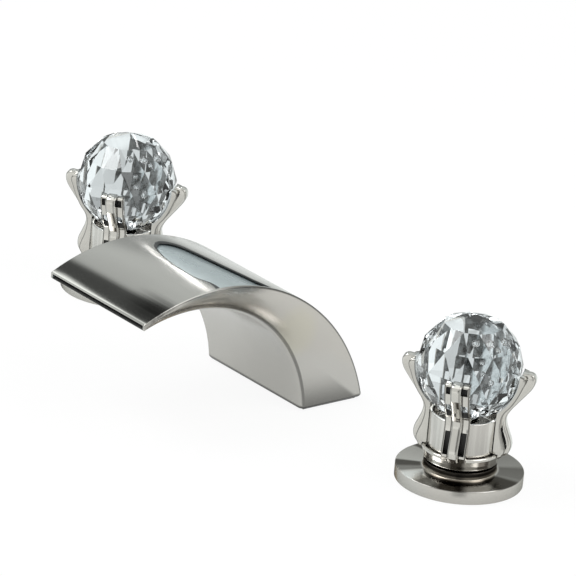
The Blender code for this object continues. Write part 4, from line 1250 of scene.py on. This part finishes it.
def claw_windows():
    """What the windows on either side of the fin take out of the ribs, leaving walls of painted shadow."""
    spans = [tuple(COLLAR_BOTTOM + COLLAR_HEIGHT * share for share in COLLAR_WINDOW_SHARES)]
    for shares in BALL_WINDOW_SHARES:
        spans.append(tuple(BALL_MIDDLE + BALL_RADIUS * share for share in shares))
    windows = []
    for side in (-1, 1):
        near, far = sorted((side * FIN_WIDTH / 2, side * (FIN_WIDTH / 2 + WINDOW_WIDTH)))
        for low, high in spans:
            start = COLLAR_RADIUS + COLLAR_WINDOW_START
            if low > COLLAR_TOP:
                level = (low + high) / 2 - BALL_MIDDLE
                start = math.sqrt(BALL_RADIUS ** 2 - level ** 2) + BALL_WINDOW_START
            opening = box_mesh("claw_window", (start, near, low), (WINDOW_REACH, far, high))
            windows.append(loose("claw_window", opening, SHADOW))
    return windows


def handle_room():
    """The cup, collar and ball with a gap round them, which the claws are cut to fit."""
    room_ball = BALL_RADIUS * BALL_ROOM_SHARE + SEAT_GAP
    collar_room = COLLAR_RADIUS + SEAT_GAP
    meets = math.acos(collar_room / room_ball)
    points = []
    for step in range(ROOM_ARC_STEPS + 1):
        angle = math.pi / 2 - (math.pi / 2 + meets) * step / ROOM_ARC_STEPS
        points.append((max(0.0, room_ball * math.cos(angle)), BALL_MIDDLE + room_ball * math.sin(angle)))
    points[0] = (0.0, points[0][1])
    points.append((collar_room, CUP_RIM + SEAT_GAP))
    points.append((CUP_RIM_RADIUS + SEAT_GAP, CUP_RIM + SEAT_GAP))
    points.append((CUP_RIM_RADIUS + SEAT_GAP, CUP_BOTTOM))
    points.append((0.0, CUP_BOTTOM))
    return turned("handle_room", points, ROOM_STEPS)


def claw_mesh():
    """One claw on +X: a proud fin between two low ribs, with windows of painted shadow on either side of the
    fin.
    """
    rib_points = claw_outline(RIB_FOOT_SHARES, RIB_HEAD_SHARES, RIB_HEAD_ANGLES, RIB_PROUD)
    fin_points = claw_outline(FIN_FOOT_SHARES, FIN_HEAD_SHARES, FIN_HEAD_ANGLES, FIN_PROUD)
    ribs = loose("claw_ribs", round_edged_plate("claw_ribs", rib_points, CLAW_WIDTH, RIB_EDGE), CLAW)
    fin = loose("claw_fin", round_edged_plate("claw_fin", fin_points, FIN_WIDTH, FIN_EDGE), CLAW)
    windows = claw_windows()
    room = loose("handle_room", handle_room(), CLAW)
    combine(ribs, "UNION", fin)
    combine(ribs, "DIFFERENCE", *windows, room)
    mesh = shade(settled(ribs), CLAW_CREASE)
    drop([fin, *windows, room])
    return mesh


def handle(side, place, claw, ball):
    turning = f"{side}_handle"
    still = "faucet"
    piece(f"{side}_turned_flange", flange_mesh(), FLANGE, still, [f"{side}_flange"], place)
    piece(f"{side}_flared_cup", cup_mesh(), POLISHED, turning, [f"{side}_handle_cup"], place)
    piece(f"{side}_brushed_collar", collar_mesh(), COLLAR, turning, [f"{side}_collar"], place)
    piece(f"{side}_cut_ball", ball.copy(), CRYSTAL, turning, [f"{side}_crystal_ball"], place)
    for number in range(CLAW_COUNT):
        turn = CLAW_TURN + math.tau * number / CLAW_COUNT
        piece(
            f"{side}_cast_claw_{number + 1}", claw.copy(), None, turning,
            [f"{side}_claw_{number + 1}"], place, turn)


# Below the deck
def thread_mesh(name, radius, top, bottom):
    """A thin sleeve whose outside is a screw thread running out at both ends."""
    rows = round((top - bottom) / THREAD_PITCH * THREAD_ROWS)
    rings = []
    for row in range(rows + 1):
        height = bottom + (top - bottom) * row / rows
        fade = min(1.0, (height - bottom) / THREAD_PITCH, (top - height) / THREAD_PITCH)
        reaches = []
        for step in range(THREAD_STEPS):
            phase = (height / THREAD_PITCH - step / THREAD_STEPS) % 1
            ridge = min(1.0, THREAD_FLANK * (1 - abs(2 * phase - 1))) * fade
            reaches.append(radius - THREAD_DEPTH / 2 + THREAD_DEPTH * ridge)
        rings.append((height, reaches))
    for height in (top, bottom):
        rings.append((height, [radius - 2 * THREAD_DEPTH] * THREAD_STEPS))
    vertices = []
    faces = []
    for ring, (height, reaches) in enumerate(rings):
        for step, reach in enumerate(reaches):
            angle = math.tau * step / THREAD_STEPS
            vertices.append((reach * math.cos(angle), reach * math.sin(angle), height))
        faces += wall(ring * THREAD_STEPS, (ring + 1) % len(rings) * THREAD_STEPS, THREAD_STEPS)
    mesh = bpy.data.meshes.new(name)
    mesh.from_pydata(vertices, [], faces)
    turn_out(mesh)
    return shade(mesh, THREAD_CREASE)


def thread(name, radius, ends, place=(0, 0, 0), sideways=0):
    """A thread on a tube of the CAD. Sideways is +1 or -1 for one that points along X."""
    mesh = thread_mesh(name, radius, *ends)
    if sideways:
        mesh.transform(Matrix.Rotation(sideways * math.pi / 2, 4, "Y"))
    piece(name, mesh, BRASS, "faucet", [], place)


def nut(name, thread_radius, node, place):
    """Hexagon nut with its corners turned off at both ends and a chamfered bore."""
    inner = thread_radius + SEAT_GAP
    flat = inner + NUT_WALL
    corner = flat / math.cos(math.pi / NUT_SIDES)
    face = flat * NUT_FACE_SHARE
    slope = (corner - face) * math.tan(math.pi / NUT_SIDES)
    top = NUT_TOP
    bottom = NUT_TOP - NUT_HEIGHT
    outside = corner + NUT_ROOM
    flare = inner + BORE_FLARE
    prism = loose("nut_prism", turned("nut_prism", [
        (corner, top), (corner, bottom), (0.0, bottom), (0.0, top)], NUT_SIDES), BRASS)
    prism.data.transform(Matrix.Rotation(math.pi / 2, 4, "Z"))
    barrel = loose("nut_barrel", turned("nut_barrel", [
        (0.0, top + CUT_OVERLAP), (face, top + CUT_OVERLAP), (outside, top - slope),
        (outside, bottom + slope), (face, bottom - CUT_OVERLAP), (0.0, bottom - CUT_OVERLAP)]), BRASS)
    bore = loose("nut_bore", turned("nut_bore", [
        (0.0, top + BORE_PAST), (flare, top + BORE_PAST), (inner, top - BORE_CHAMFER),
        (inner, bottom + BORE_CHAMFER), (flare, bottom - BORE_PAST), (0.0, bottom - BORE_PAST)]), BRASS)
    combine(prism, "INTERSECT", barrel)
    combine(prism, "DIFFERENCE", bore)
    mesh = shade(settled(prism), NUT_CREASE)
    drop((barrel, bore))
    piece(name, mesh, None, "faucet", [node], place)


def under_deck():
    """Threads and hexagon nuts below the deck."""
    thread("spout_shank_thread", SHANK_RADIUS, SHANK_THREAD)
    nut("spout_hexagon_nut", SHANK_RADIUS, "spout_nut", (0, 0, 0))
    for side, way in (("left", 1), ("right", -1)):
        place = (-way * HANDLE_X, 0, 0)
        outlet = (-way * HANDLE_X, 0, OUTLET_HEIGHT)
        thread(f"{side}_neck_thread", VALVE_RADIUS, NECK_THREAD, place)
        thread(f"{side}_inlet_thread", SHANK_RADIUS, INLET_THREAD, place)
        thread(f"{side}_outlet_thread", NIPPLE_RADIUS, OUTLET_THREAD, outlet, way)
        thread(f"tee_{side}_thread", NIPPLE_RADIUS, TEE_THREAD, (0, 0, TEE_HEIGHT), -way)
        nut(f"{side}_hexagon_nut", VALVE_RADIUS, f"{side}_valve_nut", place)


def dress_solids():
    """Finishes of the solids that are shown as they are: the first word that is in a node's name decides."""
    finishes = (
        ("crystal_ball", CRYSTAL), ("washer_rubber", RUBBER), ("rubber_washer", RUBBER), ("gasket", RUBBER),
        ("seal", RUBBER), ("disc", CERAMIC), ("steel_washer", STEEL), ("screw", STEEL), ("stud", STEEL),
        ("collar", COLLAR), ("claw", CLAW), ("flange", FLANGE), ("cup", POLISHED), ("spout_body", SPOUT),
    )
    for name, node in frame["nodes"].items():
        found = [finish for word, finish in finishes if word in name]
        node.data.materials.clear()
        node.data.materials.append(found[0] if found else BRASS)


# The room by direction, in Z or in lean, which is Y over -X: from and full, or from, to and softness
LEFT_SIDE = (0.25, 0.45)
LEAST_RUN = 0.1
# A dark strip that the lip mirrors, slanting with the height, and a bright strip before it
STRIP_SLANT = 0.66
STRIP_LEAN = 0.511
STRIP_FOOT = 0.57
FLAG_START = (-0.012, 0.012)
FLAG_END = (0.250, 0.325)
FLAG_END_SHIFT = 0.10
FLAG_END_HEIGHT = (0.66, 0.78)
FLAG_HEIGHT = (0.35, 0.95, 0.05)
FLAG_DARK = 0.94
LIP_LIGHT_LEAN = (-0.12, -0.06)
LIP_LIGHT_END = (-0.028, -0.004)
LIP_LIGHT_HEIGHT = (0.49, 0.92, 0.03)
LIP_LIGHT = 0.8
# A dark curtain at the deck's level, which crystal shows at another place than metal does
CURTAIN_LEAN = (0.14, 0.74, 0.06)
CURTAIN_THROUGH_LEAN = (0.42, 0.84, 0.06)
CURTAIN_HEIGHT = (-0.50, 0.06, 0.05)
CURTAIN_DARK = 0.93
# A dark gap on the side that the photograph was taken from, fainter through crystal
LENS_X = (0.45, 0.60)
LENS_LEAN = (0.55, 1.15, 0.10)
LENS_HEIGHT = (-0.30, 0.42, 0.10)
LENS_DARK = 0.80
LENS_THROUGH_LIGHTER = 0.45
GAP_LEVEL = 0.05
# The light of the walls, with more or less of it in parts of the room
WALL_LEVEL = 0.70
CEILING = (0.72, 0.85)
CEILING_MORE = 0.45
SKIRTING = (-0.12, 0.0)
SKIRTING_MORE = 0.10
FLOOR_HEIGHT = (-0.5, -0.2)
FLOOR_LESS = 0.16
LOW_WALL_LEAN = (0.4, 0.7)
LOW_WALL_START = (-0.05, 0.20)
LOW_WALL_END = (0.34, 0.44)
LOW_WALL_LESS = 0.38
BESIDE_LEAN = (0.35, 0.40, 0.20)
BESIDE_HEIGHT = (0.52, 0.95, 0.05)
BESIDE_LESS = 0.10
THROUGH_MORE = 0.30
THROUGH_LESS = 0.16
THROUGH_LESS_LEAN = (0.85, 1.1)
# Tints of the room: from cool to warm across it, and cooler through crystal
TINT_SIDE = -0.3
TINT_TURN = (-0.5, 0.5)
ROOM_COOL = colour(0.95, 1.0, 0.985)
ROOM_WARM = colour(0.98, 0.99, 0.955)
ROOM_THROUGH = colour(0.93, 0.985, 1.0)
ROOM_THROUGH_SHARE = 0.7
WHITE = colour(1, 1, 1)


def room_gaps(x, y, z, left, lean, past_strip, through):
    """How dark the room's dark parts are: the flag, the curtain and the gap on the camera's side."""
    past_flag = lean - FLAG_END_SHIFT * z.step(*FLAG_END_HEIGHT)
    flag = left * past_strip.step(*FLAG_START) * (1 - past_flag.step(*FLAG_END)) * z.band(*FLAG_HEIGHT)
    drawn = lean.band(*CURTAIN_LEAN) * (1 - through) + lean.band(*CURTAIN_THROUGH_LEAN) * through
    curtain = left * drawn * z.band(*CURTAIN_HEIGHT)
    lens_lean = (y * -1) / x.most(LEAST_RUN)
    lens = x.step(*LENS_X) * lens_lean.band(*LENS_LEAN) * z.band(*LENS_HEIGHT)
    dark = (flag * FLAG_DARK).most(curtain * CURTAIN_DARK)
    return dark.most(lens * (LENS_DARK - LENS_THROUGH_LIGHTER * through))


def room_level(x, y, z, through):
    """How light the room is in a direction."""
    left = (x * -1).step(*LEFT_SIDE)
    lean = y / (x * -1).most(LEAST_RUN)
    past_strip = lean + z.most(STRIP_FOOT) * STRIP_SLANT - STRIP_LEAN
    lip_light = left * (1 - past_strip.step(*LIP_LIGHT_END)) * lean.step(*LIP_LIGHT_LEAN)
    lip_light = lip_light * z.band(*LIP_LIGHT_HEIGHT) * (1 - through)
    beside = left * lean.band(*BESIDE_LEAN) * z.band(*BESIDE_HEIGHT)
    low_wall = left * lean.step(*LOW_WALL_LEAN) * z.step(*LOW_WALL_START) * (1 - z.step(*LOW_WALL_END))
    level = WALL_LEVEL + CEILING_MORE * z.step(*CEILING) + SKIRTING_MORE * (1 - z.step(*SKIRTING))
    level = level - FLOOR_LESS * (1 - z.step(*FLOOR_HEIGHT))
    level = level * (1 - LOW_WALL_LESS * low_wall) * (1 - BESIDE_LESS * beside) + LIP_LIGHT * lip_light
    behind = THROUGH_MORE * (1 - left) - THROUGH_LESS * left * lean.step(*THROUGH_LESS_LEAN)
    level = level + through * behind
    dark = room_gaps(x, y, z, left, lean, past_strip, through)
    return level * (1 - dark) + dark * GAP_LEVEL


def room():
    """A pale room with grey and dark parts for metal and crystal to show, and white for the camera."""
    world = bpy.data.worlds.new("studio")
    bpy.context.scene.world = world
    world.use_nodes = True
    finish = Finish(world.node_tree)
    x, y, z = finish.axes("Generated")
    path = finish.node("ShaderNodeLightPath", {}, {})
    seen = Value(finish, path.outputs["Is Camera Ray"])
    through = Value(finish, path.outputs["Is Transmission Ray"])
    level = room_level(x, y, z, through)
    tint = finish.mix((x + y * TINT_SIDE).step(*TINT_TURN), ROOM_COOL, ROOM_WARM)
    tint = finish.mix(through * ROOM_THROUGH_SHARE, tint, ROOM_THROUGH)
    lit = finish.value("ShaderNodeVectorMath", {"operation": "SCALE"}, {0: tint, "Scale": level})
    link(finish, finish.mix(seen, lit, WHITE), world.node_tree.nodes["Background"], "Color")


def sheet(name, corners, finish):
    """A flat four-cornered piece of the stage."""
    mesh = bpy.data.meshes.new(name)
    mesh.from_pydata(corners, [], [(0, 1, 2, 3)])
    mesh.materials.append(finish)
    return added(name, mesh)


def glowing(name, tint, strength):
    """A material that only gives light."""
    made, finish, _ = material(name)
    glow = finish.value("ShaderNodeEmission", {}, {"Color": tint, "Strength": strength})
    link(finish, glow, made.node_tree.nodes["Material Output"], "Surface")
    return made


FLOOR_HALF = 6.0
FLOOR_Z = -0.0002
FLOOR_GREY = colour(0.85, 0.85, 0.85)
# How much of the floor is plain white for the camera, and clear for mirrored and for crystal's rays
FLOOR_SEEN = 0.92
FLOOR_MIRRORED = 0.75
FLOOR_THROUGH = 0.93


def pale_floor():
    """A floor that keeps soft shadows, and that metal and crystal see the room through."""
    made, finish, shader = material("pale_floor", Base_Color=FLOOR_GREY, Roughness=1.0)
    path = finish.node("ShaderNodeLightPath", {}, {})
    seen = Value(finish, path.outputs["Is Camera Ray"])
    glossy = Value(finish, path.outputs["Is Glossy Ray"])
    through = Value(finish, path.outputs["Is Transmission Ray"])
    glow = finish.node("ShaderNodeEmission", {}, {"Color": WHITE, "Strength": 1.0})
    clear = finish.node("ShaderNodeBsdfTransparent", {}, {})
    lit = finish.node("ShaderNodeMixShader", {}, {
        0: seen * FLOOR_SEEN, 1: shader.outputs[0], 2: glow.outputs[0]})
    cleared = (glossy * FLOOR_MIRRORED).most(through * FLOOR_THROUGH)
    mixed = finish.value("ShaderNodeMixShader", {}, {0: cleared, 1: lit.outputs[0], 2: clear.outputs[0]})
    link(finish, mixed, made.node_tree.nodes["Material Output"], "Surface")
    half = FLOOR_HALF
    floor = sheet("floor", [(-half, -half, 0), (half, -half, 0), (half, half, 0), (-half, half, 0)], made)
    floor.location.z = FLOOR_Z


STRIP_LOW_END = Vector((-0.43, 0.246, 0.228))
STRIP_HIGH_END = Vector((-0.29, 0.170, 0.316))
STRIP_HALF = Vector((0.004, 0.003, 0.010))
STRIP_HIGH_SHARE = 1.6
STRIP_STRENGTH = 6.0


def strip_lamp():
    """A thin lamp that only metal and crystal show."""
    low_half = STRIP_HALF
    high_half = STRIP_HALF * STRIP_HIGH_SHARE
    corners = [
        STRIP_LOW_END - low_half, STRIP_HIGH_END - high_half, STRIP_HIGH_END + high_half,
        STRIP_LOW_END + low_half]
    strip = sheet("strip_lamp", corners, glowing("strip_light", WHITE, STRIP_STRENGTH))
    strip.visible_camera = False
    strip.visible_diffuse = False
    strip.visible_shadow = False


CARD_HALF_X = 0.090
CARD_HALF_Y = 0.050
CARD_Z = -0.0006
CARD_GREY = colour(0.70, 0.72, 0.71)


def under_card():
    """A grey card below the floor that the spout's under side mirrors."""
    corners = [
        (-CARD_HALF_X, -CARD_HALF_Y, CARD_Z), (CARD_HALF_X, -CARD_HALF_Y, CARD_Z),
        (CARD_HALF_X, CARD_HALF_Y, CARD_Z), (-CARD_HALF_X, CARD_HALF_Y, CARD_Z)]
    card = sheet("under_card", corners, glowing("under_grey", CARD_GREY, 1.0))
    card.visible_camera = False
    card.visible_diffuse = False
    card.visible_transmission = False
    card.visible_shadow = False


# Soft lamps: name, place, size in metres and power in watts
LAMPS = (
    ("key", (-0.6, -0.9, 1.6), 0.9, 16.0),
    ("fill", (1.2, 0.6, 1.3), 1.0, 9.0),
)


def soft_lamps():
    for name, place, size, power in LAMPS:
        lamp = bpy.data.lights.new(name, "AREA")
        lamp.size = size
        lamp.energy = power
        holder = added(name, lamp)
        holder.location = place
        holder.rotation_mode = "QUATERNION"
        holder.rotation_quaternion = Vector(place).to_track_quat("Z", "Y")


# The camera, in millimetres on its sensor and metres in the scene
SENSOR_WIDTH = 36.0
FOCAL_LENGTH = 287.43
CLIP_START = 0.1
CLIP_END = 50.0
CAMERA_PLACE = (1.50240, -1.24288, 0.79987)
CAMERA_RIGHT = (0.61080882, 0.78769614, 0.08029558)
CAMERA_UP = (-0.33229873, 0.16297845, 0.92898632)
CAMERA_BACK = (0.71867248, -0.59411516, 0.36129911)


def camera():
    """The photograph's view."""
    scene = bpy.context.scene
    data = bpy.data.cameras.new("camera")
    data.sensor_width = SENSOR_WIDTH
    data.lens = FOCAL_LENGTH
    data.clip_start = CLIP_START
    data.clip_end = CLIP_END
    holder = added("camera", data)
    turn = Matrix((CAMERA_RIGHT, CAMERA_UP, CAMERA_BACK)).transposed()
    holder.matrix_world = Matrix.Translation(CAMERA_PLACE) @ turn.to_4x4()
    scene.camera = holder
    scene.view_settings.view_transform = "Standard"


camera()
room()
pale_floor()
strip_lamp()
under_card()
soft_lamps()
dress_solids()
spout()
one_claw = claw_mesh()
one_ball = ball_mesh()
handle("left", (-HANDLE_X, 0, 0), one_claw, one_ball)
handle("right", (HANDLE_X, 0, 0), one_claw, one_ball)
under_deck()
